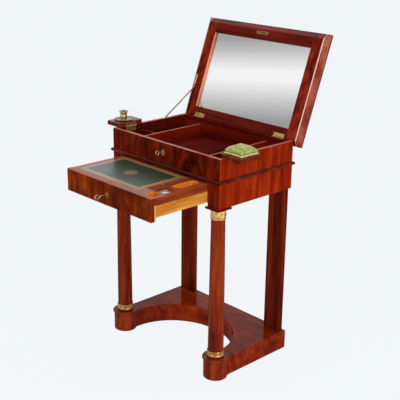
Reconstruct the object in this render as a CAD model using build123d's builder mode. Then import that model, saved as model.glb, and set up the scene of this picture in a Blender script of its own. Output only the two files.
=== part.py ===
from build123d import *
import os
from math import atan2, cos, degrees, hypot, radians, sin

os.makedirs("parts", exist_ok=True)

# A small dressing, work and writing table in mahogany. A box with a mirror lid and fitted
# compartments stands over a drawer with a leather writing top. Two columns in front and two
# flat posts behind carry it on a plinth with a hollowed front.
# Sizes are in millimetres. The origin is on the floor, under the middle of the rear posts.
# X is to the right of the person who sits at the table, Y to the back and Z up.
# It is drawn as it stands in use: lid up, drawer out, both small boards turned out.

# Case
case_width = 510
case_depth = 330
case_front = -315
case_bottom = 582
rim = 740
wall = 13
back_wall = 15
case_corner = 1.5
rim_round = 1.2
case_side = case_width / 2
case_back = case_front + case_depth
inner_side = case_side - wall
inner_front = case_front + wall
inner_back = case_back - back_wall

# Waist moulding between the box and the drawer
moulding_middle = 666
moulding_height = 11
moulding_reach = 6.5
moulding_round = 5.3

# Boards of the case
floor_top = 672
floor_bottom = 664
stile_width = 50
stile_depth = 20
rail_bottom = 655.5
rail_depth = 30
base_board_bottom = 583.5
base_board_top = 593.5
guide_top = 616
guide_gap = 0.6
kicker_bottom = 655.2
kicker_width = 52

# Compartments of the box
divider_top = 720
divider_thickness = 7
left_divider = -163.5
right_divider = 148.5
cross_thickness = 6
divider_round = 1
left_cross = -202
right_cross = -213

# Plinth
plinth_half_width = 256
plinth_back = 18.5
plinth_height = 65
plinth_round = 1.5
hollow_half_width = 205
hollow_depth = 190
hollow_centre = -260

# Columns with their drums, rings, bands and plates
column_x = 231.2
column_y = -294
drum_radius = 39.5
drum_height = 66
drum_round = 4
drum_top_round = 3
disc_radius = 44
disc_height = 7
spigot_radius = 24.5
column_foot = drum_height + disc_height
ring_height = 24
ring_radius = 28.5
ring_edge = 3
ring_torus = 13
ring_hollow = 3.6
ring_flange = 18
ring_flange_edge = 1.5
ring_flange_band = (19, 22)
foot_radius = 25.5
waist_radius = 24.3
neck_radius = 22
neck_spigot = 21
band_bottom = 545
column_top = 577
band_radius = 23.4
band_bead = 24.6
bead_height = 4
plate_width = 59
plate_corner = 1

# Rear posts
post_width = 66
post_depth = 21
post_inner = 181
post_front = -10
post_corner = 1.2

# Lid, drawn round its hinge line: d runs from the hinge line along the inner face, h outwards
open_angle = 110.1
hinge_y = case_back + 3.5
lid_gap = 0.3
lid_half_width = 258.5
lid_length = 335.7
bevel_reach = 17.5
bevel_height = 15.6
lid_thickness = 25.6
nose_round = 4
mirror_half_width = 218.5
mirror_near = 32.6
mirror_far = 302
rebate = 6
mirror_recess = 9
glass_thickness = 3
cove_radius = 12
cove_depth = 4
cove_near = 23
cove_far = 311
bolt_slot_depth = 7

# Hinges of the lid
hinge_middle = 187
hinge_width = 47
hinge_leaf = 12
leaf_thickness = 1.4
knuckle_radius = 3
pin_radius = 1.2
pin_hole = 1.25
knuckle_gap = 0.3
knuckle_room = 0.4

# Folding stay on the left
stay_foot_y = -84
stay_foot_z = 743.5
stay_head_d = 100
stay_head_h = 3.5
arm_thickness = 1.6
lower_arm_x = -249.9
upper_arm_x = -251.9
arm_width = 4.6
eye_radius = 3.2
stay_pin = 1.25
stay_hole = 1.3
stay_pin_end = 0.2
elbow_radius = 2.6
rivet_radius = 2.2
rivet_height = 0.9
lug_gap = 0.4
lug_thickness = 1.9
rim_slot = (-252.6, -247.8)
rim_slot_ends = (-27, 7)
rim_slot_depth = 4
bracket_x = (-254, -244.5)
bracket_ends = (-104, -62)
lid_groove = (-255.6, -245.2)
lid_groove_ends = (8, 109)
lid_groove_depth = 9.5
stay_plate_x = (-255.6, -249.2)
stay_plate_ends = (107.5, 144)

# Small boards that turn out over the rim
board_bottom = 740.3
board_top = 754
board_axis_z = 737.3
board_axis_x = inner_side
board_edge = board_axis_x + 0.3
board_corner = 2.5
board_round = 1.2
candle_board_reach = 62.7
candle_board_ends = (-300, -199)
cushion_board_reach = 82.7
cushion_board_ends = (-300, -214)
board_hinge_width = 44
candle_hinge_middle = -248
cushion_hinge_middle = -257
board_knuckle = 2.8
board_leaf = 1.2
board_leaf_top = 751
wall_leaf_bottom = 720

# Candle holder
candle_x = -275
candle_y = -253
pan_radius = 31.5
pan_thickness = 1.2
pan_lip = 4
socket_top = 784
socket_foot = (8.5, 1.5)
socket_belly = (11.7, 8)
socket_neck = (11.4, 16)
socket_flare = (13, 4.6)
socket_rim = 16
socket_lip = 1.8
candle_bore = 9.75
candle_bore_depth = 20

# Pincushion
cushion_x = 283
cushion_y = -255.5
cushion_size = 74
cushion_height = 28
cushion_drawn_in = 2.2
seam_height = 8

# Heights over the board and the pillow's width there, from its foot over the seam to its crown
cushion_profile = ((0, 62), (seam_height, cushion_size), (15, 67), (22, 52), (cushion_height, 24))

# Drawer, pulled out
drawer_travel = 226
drawer_front_y = case_front - drawer_travel
drawer_front_thickness = 18
drawer_front_round = 1
drawer_depth = 300
drawer_half_width = 204.5
drawer_front_bottom = 582.5
drawer_front_top = 655
drawer_side = 203
drawer_side_thickness = 10
drawer_side_bottom = 594
oak_top = 630
writing_top = 654.5
drawer_panel_bottom = 597
drawer_panel_top = 602
drawer_back_thickness = 8
drawer_inner_y = drawer_front_y + drawer_front_thickness
drawer_rear_y = drawer_front_y + drawer_depth
writing_board = 8.5
frame_rail = 13
leather_left = -184
leather_right = 110
leather_front = -510
leather_back = -323
leather_thickness = 1.5

# Wells on the right of the writing top, each as low x, high x, low y, high y
square_well = (150, 192, -521, -485)
ink_well = (149, 192, -480, -434)
pen_well = (146, 184, -418, -322)
well_floor = 632.5
pen_floor = 638
liner_wall = 1.5
liner_drop = 0.8
pen_tray_round = 8
ink_block_top = 648
ink_x = 177
ink_y = -459
ink_radius = 13.5
ink_pot_room = 0.3
ink_pot_wall = 2
ink_pot_top = 650
ink_lid_radius = 14.5
ink_lid_side = 2
ink_lid_top = 654.8

# Locks and keys
lock_depth = 8
back_plate = 1.8
key_chamber = 2.8
key_radius = 1.8
key_tip_hole = 1.85
key_tip_gap = 0.2
key_collar = (2.7, 2)
chamber_radius = 8.3
bit_reach = 7.5
keyhole_radius = 2.3
keyhole_slot = 2.6
keyhole_drop = 8
bolt_half_width = 9
bolt_thickness = 3
bolt_room = 0.2
bolt_rise = 6
bolt_drop = 1
lock_half_width = 22
upper_key_z = 710
upper_lock_bottom = 695
upper_lock_top = 735
upper_shank = 18
upper_bow = (15, 17)
upper_plate = (20, 22)
drawer_key_z = 618.5
drawer_lock_bottom = 603
drawer_lock_top = 650
drawer_shank = 26
drawer_bow = (22, 14)
drawer_plate = (17, 21)
bolt_lift_gap = 5
bit_thickness = 2.2
bit_gap = 0.3
bow_wire = 2.4
bow_thickness = 2.4
bow_overlap = 1.2
plate_thickness = 1
plate_drop = 2
plate_waist = 0.76
plate_cross = 0.48
strike_half_width = 27
strike_height = 11

# How far a cut runs past the face that it opens
past = 1

# How far the middle of a quarter round stands in from its corner, as a share of its radius
quarter_dip = 1 - cos(radians(45))


# Shared operations

def keep(piece, name):
    piece.part.label = name
    export_step(piece.part, f"parts/{name}.step")


def board(x0, x1, y0, y1, z0, z1, mode=Mode.ADD):
    with BuildSketch(Plane.XY.offset(z0)) as outline:
        with Locations(((x0 + x1) / 2, (y0 + y1) / 2)):
            Rectangle(x1 - x0, y1 - y0)
    extrude(outline.sketch, amount=z1 - z0, mode=mode)


def case_board(corners, z0, z1):
    # A board of the case, cut by its corners out of the case's rounded outline
    with BuildSketch(Plane.XY.offset(z0)) as outline:
        with Locations((0, (case_front + case_back) / 2)):
            RectangleRounded(case_width, case_depth, case_corner)
        Polygon(*corners, align=None, mode=Mode.INTERSECT)
    extrude(outline.sketch, amount=z1 - z0)


def rod_along_x(x0, x1, y, z, radius, mode=Mode.ADD):
    with BuildSketch(Plane.YZ.offset(x0)) as outline:
        with Locations((y, z)):
            Circle(radius)
    extrude(outline.sketch, amount=x1 - x0, mode=mode)


def rod_along_y(x, y0, y1, z, radius, mode=Mode.ADD):
    with BuildSketch(Plane.XZ.offset(-y1)) as outline:
        with Locations((x, z)):
            Circle(radius)
    extrude(outline.sketch, amount=y1 - y0, mode=mode)


def turning(x, y):
    # The upright plane of a turned piece's profile, with the piece's axis as its left edge
    return Plane(origin=(x, y, 0), x_dir=(1, 0, 0), z_dir=(0, -1, 0))


def turn(outline, x, y):
    revolve(outline.sketch, axis=Axis((x, y, 0), (0, 0, 1)))


def cut_lock_housing(face_y, inner_y, key_z, bottom, top, front_top):
    board(-lock_half_width, lock_half_width, inner_y - lock_depth, inner_y, bottom, top,
          mode=Mode.SUBTRACT)
    board(-bolt_half_width - bolt_room, bolt_half_width + bolt_room,
          inner_y - lock_depth + key_chamber, inner_y - back_plate, top, front_top + past,
          mode=Mode.SUBTRACT)
    rod_along_y(0, face_y - past, inner_y, key_z, keyhole_radius, mode=Mode.SUBTRACT)
    board(-keyhole_slot / 2, keyhole_slot / 2, face_y - past, inner_y - lock_depth,
          key_z - keyhole_drop, key_z, mode=Mode.SUBTRACT)


# Case boards

front_corners = [
    (-case_side - past, case_front - past),
    (case_side + past, case_front - past),
    (inner_side, inner_front),
    (-inner_side, inner_front),
]

for side, word in ((-1, "left"), (1, "right")):
    side_corners = [
        (side * inner_side, inner_front),
        (side * (case_side + past), case_front - past),
        (side * (case_side + past), case_back + past),
        (side * inner_side, case_back + past),
    ]
    hinge_middle_y = candle_hinge_middle if side < 0 else cushion_hinge_middle
    hinge_ends = (hinge_middle_y - board_hinge_width / 2, hinge_middle_y + board_hinge_width / 2)
    leaf_edge = inner_side + board_leaf
    leaf_x = sorted((side * inner_side, side * leaf_edge))
    with BuildPart() as case_wall:
        case_board(side_corners, case_bottom, rim)
        fillet(case_wall.edges().group_by(Axis.Z)[-1].filter_by(Axis.Y), rim_round)
        rod_along_y(side * board_axis_x, hinge_ends[0] - knuckle_room, hinge_ends[1] + knuckle_room,
                    board_axis_z, board_knuckle + knuckle_room, mode=Mode.SUBTRACT)
        board(leaf_x[0], leaf_x[1], hinge_ends[0], hinge_ends[1],
              wall_leaf_bottom, board_axis_z, mode=Mode.SUBTRACT)
        if side < 0:
            board(rim_slot[0], rim_slot[1], rim_slot_ends[0], rim_slot_ends[1],
                  rim - rim_slot_depth, rim + past, mode=Mode.SUBTRACT)
            board(bracket_x[0], bracket_x[1], bracket_ends[0], bracket_ends[1],
                  rim - leaf_thickness, rim + past, mode=Mode.SUBTRACT)
    keep(case_wall, f"side_{word}")

leaf_low = rim - lid_gap - leaf_thickness
with BuildPart() as back_panel:
    case_board([(-inner_side, inner_back), (inner_side, inner_back),
                (inner_side, case_back + past), (-inner_side, case_back + past)], case_bottom, rim)
    fillet(back_panel.edges().group_by(Axis.Z)[-1].filter_by(Axis.X), rim_round)
    for side in (-1, 1):
        board(side * hinge_middle - hinge_width / 2, side * hinge_middle + hinge_width / 2,
              hinge_y - hinge_leaf, case_back + past, leaf_low, rim + past, mode=Mode.SUBTRACT)
keep(back_panel, "back_panel")

with BuildPart() as upper_front_panel:
    case_board(front_corners, floor_bottom, rim)
    fillet(upper_front_panel.edges().group_by(Axis.Z)[-1].filter_by(Axis.X), rim_round)
    cut_lock_housing(case_front, inner_front, upper_key_z, upper_lock_bottom, upper_lock_top, rim)
keep(upper_front_panel, "upper_front_panel")

stile_inner = case_side - stile_width
with BuildPart() as front_stiles:
    for side in (-1, 1):
        case_board([(side * stile_inner, case_front - past),
                    (side * (case_side + past), case_front - past),
                    (side * inner_side, inner_front),
                    (side * inner_side, case_front + stile_depth),
                    (side * stile_inner, case_front + stile_depth)], case_bottom, floor_bottom)
keep(front_stiles, "front_stiles")

drawer_bolt_y = drawer_inner_y - back_plate - bolt_room - bolt_thickness + drawer_travel
with BuildPart() as drawer_rail:
    board(-stile_inner, stile_inner, case_front, case_front + rail_depth, rail_bottom, floor_bottom)
    board(-bolt_half_width - bolt_room, bolt_half_width + bolt_room,
          drawer_bolt_y - bolt_room, drawer_bolt_y + bolt_thickness + bolt_room,
          rail_bottom - past, rail_bottom + bolt_rise, mode=Mode.SUBTRACT)
keep(drawer_rail, "drawer_rail")

with BuildPart() as bottom_board:
    board(-inner_side, inner_side, case_front + stile_depth, inner_back,
          base_board_bottom, base_board_top)
keep(bottom_board, "bottom_board")

with BuildPart() as compartment_floor:
    board(-inner_side, inner_side, inner_front, inner_back, floor_bottom, floor_top)
keep(compartment_floor, "compartment_floor")

guide_inner = drawer_side + guide_gap
with BuildPart() as drawer_guides:
    for side in (-1, 1):
        guide_x = sorted((side * guide_inner, side * inner_side))
        kicker_x = sorted((side * (inner_side - kicker_width), side * inner_side))
        board(guide_x[0], guide_x[1], case_front + stile_depth, inner_back, base_board_top, guide_top)
        board(kicker_x[0], kicker_x[1], case_front + rail_depth, inner_back,
              kicker_bottom, floor_bottom)
keep(drawer_guides, "drawer_guides")

with BuildPart() as waist_moulding:
    with BuildSketch(Plane.XY.offset(moulding_middle - moulding_height / 2)):
        with Locations((0, (case_front + case_back) / 2)):
            Rectangle(case_width + 2 * moulding_reach, case_depth + 2 * moulding_reach)
    extrude(amount=moulding_height)
    outer_edges = waist_moulding.edges().filter_by(Plane.XY)
    fillet(outer_edges, moulding_round)
    with BuildSketch(Plane.XY.offset(moulding_middle - moulding_height / 2)):
        with Locations((0, (case_front + case_back) / 2)):
            RectangleRounded(case_width, case_depth, case_corner)
    extrude(amount=moulding_height, mode=Mode.SUBTRACT)
keep(waist_moulding, "waist_moulding")

# Compartment dividers, each with a rounded top edge

with BuildPart() as long_dividers:
    for x in (left_divider, right_divider):
        board(x - divider_thickness / 2, x + divider_thickness / 2, inner_front, inner_back,
              floor_top, divider_top)
    fillet(long_dividers.edges().group_by(Axis.Z)[-1].filter_by(Axis.Y), divider_round)
keep(long_dividers, "long_dividers")

with BuildPart() as cross_dividers:
    board(-inner_side, left_divider - divider_thickness / 2,
          left_cross - cross_thickness / 2, left_cross + cross_thickness / 2, floor_top, divider_top)
    board(right_divider + divider_thickness / 2, inner_side,
          right_cross - cross_thickness / 2, right_cross + cross_thickness / 2, floor_top, divider_top)
    fillet(cross_dividers.edges().group_by(Axis.Z)[-1].filter_by(Axis.X), divider_round)
keep(cross_dividers, "cross_dividers")

# Plinth, hollowed in front by half an ellipse and cut round for the drums

with BuildPart() as plinth:
    with BuildSketch():
        with BuildLine():
            Polyline((-hollow_half_width, hollow_centre), (-hollow_half_width, column_y),
                     (-plinth_half_width, column_y), (-plinth_half_width, plinth_back),
                     (plinth_half_width, plinth_back), (plinth_half_width, column_y),
                     (hollow_half_width, column_y), (hollow_half_width, hollow_centre))
            EllipticalCenterArc((0, hollow_centre), hollow_half_width, hollow_depth,
                                start_angle=0, arc_size=180)
        make_face()
    extrude(amount=plinth_height)
    fillet(plinth.edges().group_by(Axis.Z)[-1], plinth_round)
    with BuildSketch():
        with Locations((-column_x, column_y), (column_x, column_y)):
            Circle(drum_radius)
    extrude(amount=plinth_height, mode=Mode.SUBTRACT)
keep(plinth, "plinth")

# Drums and columns, turned

for side, word in ((-1, "left"), (1, "right")):
    x = side * column_x
    with BuildPart() as drum:
        with BuildSketch(turning(x, column_y)) as outline:
            with BuildLine():
                Line((disc_radius - disc_height / 2, drum_height),
                     (drum_radius - drum_top_round, drum_height))
                ThreePointArc((drum_radius - drum_top_round, drum_height),
                              (drum_radius - quarter_dip * drum_top_round,
                               drum_height - quarter_dip * drum_top_round),
                              (drum_radius, drum_height - drum_top_round))
                Line((drum_radius, drum_height - drum_top_round), (drum_radius, drum_round))
                ThreePointArc((drum_radius, drum_round),
                              (drum_radius - quarter_dip * drum_round, quarter_dip * drum_round),
                              (drum_radius - drum_round, 0))
                Polyline((drum_radius - drum_round, 0), (0, 0), (0, column_foot),
                         (disc_radius - disc_height / 2, column_foot))
                ThreePointArc((disc_radius - disc_height / 2, column_foot),
                              (disc_radius, drum_height + disc_height / 2),
                              (disc_radius - disc_height / 2, drum_height))
            make_face()
        turn(outline, x, column_y)
    keep(drum, f"drum_{word}")

    with BuildPart() as column:
        with BuildSketch(turning(x, column_y)) as outline:
            with BuildLine():
                Polyline((neck_radius, band_bottom), (neck_spigot, band_bottom),
                         (neck_spigot, column_top), (0, column_top), (0, column_foot),
                         (spigot_radius, column_foot), (spigot_radius, column_foot + ring_height),
                         (foot_radius, column_foot + ring_height))
                ThreePointArc((foot_radius, column_foot + ring_height),
                              (waist_radius, (column_foot + ring_height + band_bottom) / 2),
                              (neck_radius, band_bottom))
            make_face()
        turn(outline, x, column_y)
    keep(column, f"column_{word}")

with BuildPart() as base_rings:
    for side in (-1, 1):
        x = side * column_x
        with BuildSketch(turning(x, column_y)) as outline:
            with BuildLine():
                Polyline((spigot_radius, column_foot + ring_height), (spigot_radius, column_foot),
                         (ring_radius - ring_edge, column_foot))
                ThreePointArc((ring_radius - ring_edge, column_foot),
                              (ring_radius, column_foot + ring_torus / 2),
                              (ring_radius - ring_edge, column_foot + ring_torus))
                ThreePointArc((ring_radius - ring_edge, column_foot + ring_torus),
                              (ring_radius - ring_hollow,
                               column_foot + (ring_torus + ring_flange) / 2),
                              (ring_radius - ring_flange_edge, column_foot + ring_flange))
                Polyline((ring_radius - ring_flange_edge, column_foot + ring_flange),
                         (ring_radius, column_foot + ring_flange_band[0]),
                         (ring_radius, column_foot + ring_flange_band[1]),
                         (ring_radius - ring_flange_edge, column_foot + ring_height),
                         (spigot_radius, column_foot + ring_height))
            make_face()
        turn(outline, x, column_y)
keep(base_rings, "base_rings")

with BuildPart() as capital_bands:
    for side in (-1, 1):
        x = side * column_x
        with BuildSketch(turning(x, column_y)) as outline:
            with BuildLine():
                Line((band_radius, band_bottom + bead_height), (band_radius, column_top - bead_height))
                ThreePointArc((band_radius, column_top - bead_height),
                              (band_bead, column_top - bead_height / 2), (band_radius, column_top))
                Polyline((band_radius, column_top), (neck_spigot, column_top),
                         (neck_spigot, band_bottom), (band_radius, band_bottom))
                ThreePointArc((band_radius, band_bottom), (band_bead, band_bottom + bead_height / 2),
                              (band_radius, band_bottom + bead_height))
            make_face()
        turn(outline, x, column_y)
keep(capital_bands, "capital_bands")

with BuildPart() as abacus_plates:
    for side in (-1, 1):
        x = side * column_x
        board(x - plate_width / 2, x + plate_width / 2, column_y - plate_width / 2,
              column_y + plate_width / 2, column_top, case_bottom)
    fillet(abacus_plates.edges().filter_by(Axis.Z), plate_corner)
keep(abacus_plates, "abacus_plates")

for side, word in ((-1, "left"), (1, "right")):
    post_x = sorted((side * post_inner, side * (post_inner + post_width)))
    with BuildPart() as post:
        board(post_x[0], post_x[1], post_front, post_front + post_depth, plinth_height, case_bottom)
        fillet(post.edges().filter_by(Axis.Z), post_corner)
    keep(post, f"rear_post_{word}")

# Lid, drawn in place as it stands open

turn_angle = radians(open_angle)
lid_plane = Plane(origin=(0, hinge_y, rim), x_dir=(1, 0, 0), z_dir=(0, sin(turn_angle), cos(turn_angle)))


def lid_point(d, h):
    # The world y and z of a point of the lid
    return (hinge_y - d * cos(turn_angle) + h * sin(turn_angle),
            rim + d * sin(turn_angle) + h * cos(turn_angle))


def lid_board(x0, x1, d0, d1, h0, h1, mode=Mode.ADD):
    with BuildSketch(lid_plane.offset(h0)) as outline:
        with Locations(((x0 + x1) / 2, -(d0 + d1) / 2)):
            Rectangle(x1 - x0, d1 - d0)
    extrude(outline.sketch, amount=h1 - h0, mode=mode)


def lid_section(d):
    # A plane across the lid, square to its length, with x along X and y along h
    y, z = lid_point(d, 0)
    return Plane(origin=(0, y, z), x_dir=(1, 0, 0), z_dir=(0, -cos(turn_angle), sin(turn_angle)))


slope = hypot(bevel_reach, bevel_height - lid_gap)
normal_x = (bevel_height - lid_gap) / slope
normal_h = -bevel_reach / slope
cove_x = lid_half_width + bevel_reach / 2 + (cove_radius - cove_depth) * normal_x
cove_h = (lid_gap + bevel_height) / 2 + (cove_radius - cove_depth) * normal_h
strike_d = hinge_y - (inner_front - back_plate - bolt_room - bolt_thickness / 2)

with BuildPart() as lid_frame:
    with BuildSketch(lid_plane.offset(lid_gap)):
        with Locations((0, -lid_length / 2)):
            Rectangle(2 * lid_half_width, lid_length)
    with BuildSketch(lid_plane.offset(bevel_height)):
        with Locations((0, -lid_length / 2)):
            Rectangle(2 * (lid_half_width + bevel_reach), lid_length + 2 * bevel_reach)
    loft()
    for side in (-1, 1):
        with BuildSketch(lid_section(cove_near)) as outline:
            with Locations((side * cove_x, cove_h)):
                Circle(cove_radius)
        extrude(outline.sketch, amount=cove_far - cove_near, mode=Mode.SUBTRACT)
    lid_board(-mirror_half_width, mirror_half_width, mirror_near, mirror_far,
              0, mirror_recess, mode=Mode.SUBTRACT)
    lid_board(-mirror_half_width - rebate, mirror_half_width + rebate, mirror_near - rebate,
              mirror_far + rebate, mirror_recess, bevel_height + past, mode=Mode.SUBTRACT)
    lid_board(lid_groove[0], lid_groove[1], lid_groove_ends[0], lid_groove_ends[1],
              0, lid_groove_depth, mode=Mode.SUBTRACT)
    lid_board(-strike_half_width, strike_half_width, strike_d - strike_height / 2,
              strike_d + strike_height / 2, 0, lid_gap + leaf_thickness, mode=Mode.SUBTRACT)
    lid_board(-bolt_half_width - bolt_room, bolt_half_width + bolt_room,
              strike_d - bolt_thickness / 2 - bolt_room, strike_d + bolt_thickness / 2 + bolt_room,
              0, bolt_slot_depth, mode=Mode.SUBTRACT)
    for side in (-1, 1):
        hinge_x = (side * hinge_middle - hinge_width / 2, side * hinge_middle + hinge_width / 2)
        lid_board(hinge_x[0], hinge_x[1], -past, hinge_leaf, 0, lid_gap + leaf_thickness,
                  mode=Mode.SUBTRACT)
        rod_along_x(hinge_x[0] - knuckle_room, hinge_x[1] + knuckle_room, hinge_y, rim,
                    knuckle_radius + knuckle_room, mode=Mode.SUBTRACT)
    lid_board(stay_plate_x[0], stay_plate_x[1], stay_plate_ends[0], stay_plate_ends[1],
              0, lid_gap + leaf_thickness, mode=Mode.SUBTRACT)
keep(lid_frame, "lid_frame")

with BuildPart() as lid_top_panel:
    lid_board(-lid_half_width - bevel_reach, lid_half_width + bevel_reach, -bevel_reach,
              lid_length + bevel_reach, bevel_height, lid_thickness)
    fillet(lid_top_panel.edges(), nose_round)
keep(lid_top_panel, "lid_top_panel")

with BuildPart() as mirror_glass:
    lid_board(-mirror_half_width - rebate, mirror_half_width + rebate, mirror_near - rebate,
              mirror_far + rebate, mirror_recess, mirror_recess + glass_thickness)
keep(mirror_glass, "mirror_glass")

with BuildPart() as mirror_backboard:
    lid_board(-mirror_half_width - rebate, mirror_half_width + rebate, mirror_near - rebate,
              mirror_far + rebate, mirror_recess + glass_thickness, bevel_height)
keep(mirror_backboard, "mirror_backboard")

with BuildPart() as strike_plate:
    lid_board(-strike_half_width, strike_half_width, strike_d - strike_height / 2,
              strike_d + strike_height / 2, lid_gap, lid_gap + leaf_thickness)
    lid_board(-bolt_half_width - bolt_room, bolt_half_width + bolt_room,
              strike_d - bolt_thickness / 2 - bolt_room, strike_d + bolt_thickness / 2 + bolt_room,
              0, bolt_slot_depth, mode=Mode.SUBTRACT)
keep(strike_plate, "strike_plate")

# Lid hinges: the middle knuckle is the lid's, the outer two are the case's and hold the pin

third = hinge_width / 3
with BuildPart() as lid_hinge_leaves:
    for side in (-1, 1):
        left = side * hinge_middle - hinge_width / 2
        lid_board(left, left + hinge_width, knuckle_radius + knuckle_room, hinge_leaf,
                  lid_gap, lid_gap + leaf_thickness)
        lid_board(left + third + knuckle_gap, left + 2 * third - knuckle_gap, 0, hinge_leaf,
                  lid_gap, lid_gap + leaf_thickness)
        rod_along_x(left + third + knuckle_gap, left + 2 * third - knuckle_gap, hinge_y, rim,
                    knuckle_radius)
        rod_along_x(left, left + hinge_width, hinge_y, rim, pin_hole, mode=Mode.SUBTRACT)
keep(lid_hinge_leaves, "lid_hinge_leaves")

with BuildPart() as case_hinge_leaves:
    for side in (-1, 1):
        left = side * hinge_middle - hinge_width / 2
        board(left, left + hinge_width, hinge_y - hinge_leaf,
              hinge_y - knuckle_radius - knuckle_room, leaf_low, rim - lid_gap)
        for start in (left, left + 2 * third):
            board(start, start + third, hinge_y - hinge_leaf, hinge_y, leaf_low, rim - lid_gap)
            rod_along_x(start, start + third, hinge_y, rim, knuckle_radius)
        rod_along_x(left, left + hinge_width, hinge_y, rim, pin_radius)
keep(case_hinge_leaves, "case_hinge_leaves")

# Folding stay: two arms that stand in line when the lid is open and fold back inside it

head_y, head_z = lid_point(stay_head_d, stay_head_h)
stay_reach = hypot(head_y - stay_foot_y, head_z - stay_foot_z)
stay_angle = degrees(atan2(head_z - stay_foot_z, head_y - stay_foot_y))
closed_offset = hinge_y - stay_head_d - stay_foot_y
lower_arm = (stay_reach + closed_offset) / 2
upper_arm = (stay_reach - closed_offset) / 2
elbow_y = stay_foot_y + lower_arm * cos(radians(stay_angle))
elbow_z = stay_foot_z + lower_arm * sin(radians(stay_angle))
print("stay angle", round(stay_angle, 3), "reach", round(stay_reach, 2), "lower", round(lower_arm, 2),
      "upper", round(upper_arm, 2), "foot", (stay_foot_y, stay_foot_z),
      "head", (round(head_y, 3), round(head_z, 3)), "elbow", (round(elbow_y, 3), round(elbow_z, 3)))


def stay_arm(x, start, end, start_radius, end_radius, hole_at):
    middle = ((start[0] + end[0]) / 2, (start[1] + end[1]) / 2)
    length = hypot(end[0] - start[0], end[1] - start[1])
    with BuildSketch(Plane.YZ.offset(x)) as outline:
        with Locations(Location(middle + (0,), (0, 0, stay_angle))):
            Rectangle(length, arm_width)
        with Locations(start):
            Circle(start_radius)
        with Locations(end):
            Circle(end_radius)
        with Locations(hole_at):
            Circle(stay_hole, mode=Mode.SUBTRACT)
    extrude(outline.sketch, amount=arm_thickness)


foot = (stay_foot_y, stay_foot_z)
elbow = (elbow_y, elbow_z)
head = (head_y, head_z)
with BuildPart() as stay_lower_arm:
    stay_arm(lower_arm_x, foot, elbow, eye_radius, eye_radius, foot)
    rod_along_x(lower_arm_x + arm_thickness, lower_arm_x + arm_thickness + rivet_height,
                elbow_y, elbow_z, rivet_radius)
keep(stay_lower_arm, "stay_lower_arm")

with BuildPart() as stay_upper_arm:
    stay_arm(upper_arm_x, elbow, head, elbow_radius, eye_radius, head)
keep(stay_upper_arm, "stay_upper_arm")

lug_x = lower_arm_x + arm_thickness + lug_gap
with BuildPart() as stay_bracket:
    board(bracket_x[0], bracket_x[1], bracket_ends[0], bracket_ends[1],
          rim - leaf_thickness, rim)
    with BuildSketch(Plane.YZ.offset(lug_x)) as outline:
        with Locations(foot):
            Circle(eye_radius)
        with Locations((stay_foot_y, (rim + stay_foot_z) / 2)):
            Rectangle(2 * eye_radius, stay_foot_z - rim)
    extrude(outline.sketch, amount=lug_thickness)
    rod_along_x(lower_arm_x - stay_pin_end, lug_x + lug_thickness, stay_foot_y, stay_foot_z, stay_pin)
keep(stay_bracket, "stay_bracket")

head_lug_x = upper_arm_x - lug_gap - lug_thickness
with BuildPart() as stay_plate:
    lid_board(stay_plate_x[0], stay_plate_x[1], stay_plate_ends[0], stay_plate_ends[1],
              lid_gap, lid_gap + leaf_thickness)
    lid_board(head_lug_x, head_lug_x + lug_thickness, stay_head_d, stay_plate_ends[0] + past,
              lid_gap, stay_head_h + eye_radius)
    rod_along_x(head_lug_x, head_lug_x + lug_thickness, head_y, head_z, eye_radius)
    rod_along_x(head_lug_x, upper_arm_x + arm_thickness + stay_pin_end, head_y, head_z, stay_pin)
keep(stay_plate, "stay_plate")

# Small boards that turn in over the box, each on a hinge along its inner edge

board_third = board_hinge_width / 3
boards = (
    (-1, "candle", candle_board_reach, candle_board_ends, candle_hinge_middle),
    (1, "pincushion", cushion_board_reach, cushion_board_ends, cushion_hinge_middle),
)
for side, word, reach, ends, middle in boards:
    start = middle - board_hinge_width / 2
    end = middle + board_hinge_width / 2
    board_x = sorted((side * board_edge, side * (board_edge + reach)))
    edge_leaf_x = sorted((side * board_edge, side * (board_edge + board_leaf)))
    axis_x = side * board_axis_x
    with BuildPart() as turning_board:
        board(board_x[0], board_x[1], ends[0], ends[1], board_bottom, board_top)
        fillet(turning_board.edges().filter_by(Axis.Z), board_corner)
        fillet(turning_board.edges().group_by(Axis.Z)[-1], board_round)
        board(edge_leaf_x[0], edge_leaf_x[1], start, end, board_bottom, board_leaf_top,
              mode=Mode.SUBTRACT)
    keep(turning_board, f"{word}_board")

    with BuildPart() as edge_leaf:
        board(edge_leaf_x[0], edge_leaf_x[1], start, end, board_bottom, board_leaf_top)
        board(edge_leaf_x[0], edge_leaf_x[1], start + board_third + knuckle_gap,
              end - board_third - knuckle_gap, board_axis_z, board_leaf_top)
        rod_along_y(axis_x, start + board_third + knuckle_gap, end - board_third - knuckle_gap,
                    board_axis_z, board_knuckle)
        rod_along_y(axis_x, start, end, board_axis_z, pin_hole, mode=Mode.SUBTRACT)
    keep(edge_leaf, f"{word}_board_leaf")

with BuildPart() as board_wall_leaves:
    for side, word, reach, ends, middle in boards:
        start = middle - board_hinge_width / 2
        end = middle + board_hinge_width / 2
        leaf_x = sorted((side * inner_side, side * (inner_side + board_leaf)))
        axis_x = side * board_axis_x
        board(leaf_x[0], leaf_x[1], start, end, wall_leaf_bottom,
              board_axis_z - board_knuckle - knuckle_room)
        for knuckle_start in (start, end - board_third):
            board(leaf_x[0], leaf_x[1], knuckle_start, knuckle_start + board_third,
                  wall_leaf_bottom, board_axis_z)
            rod_along_y(axis_x, knuckle_start, knuckle_start + board_third, board_axis_z,
                        board_knuckle)
        rod_along_y(axis_x, start, end, board_axis_z, pin_radius)
keep(board_wall_leaves, "board_wall_leaves")

# Candle holder: a shallow drip pan with a flared socket in its middle

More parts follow.
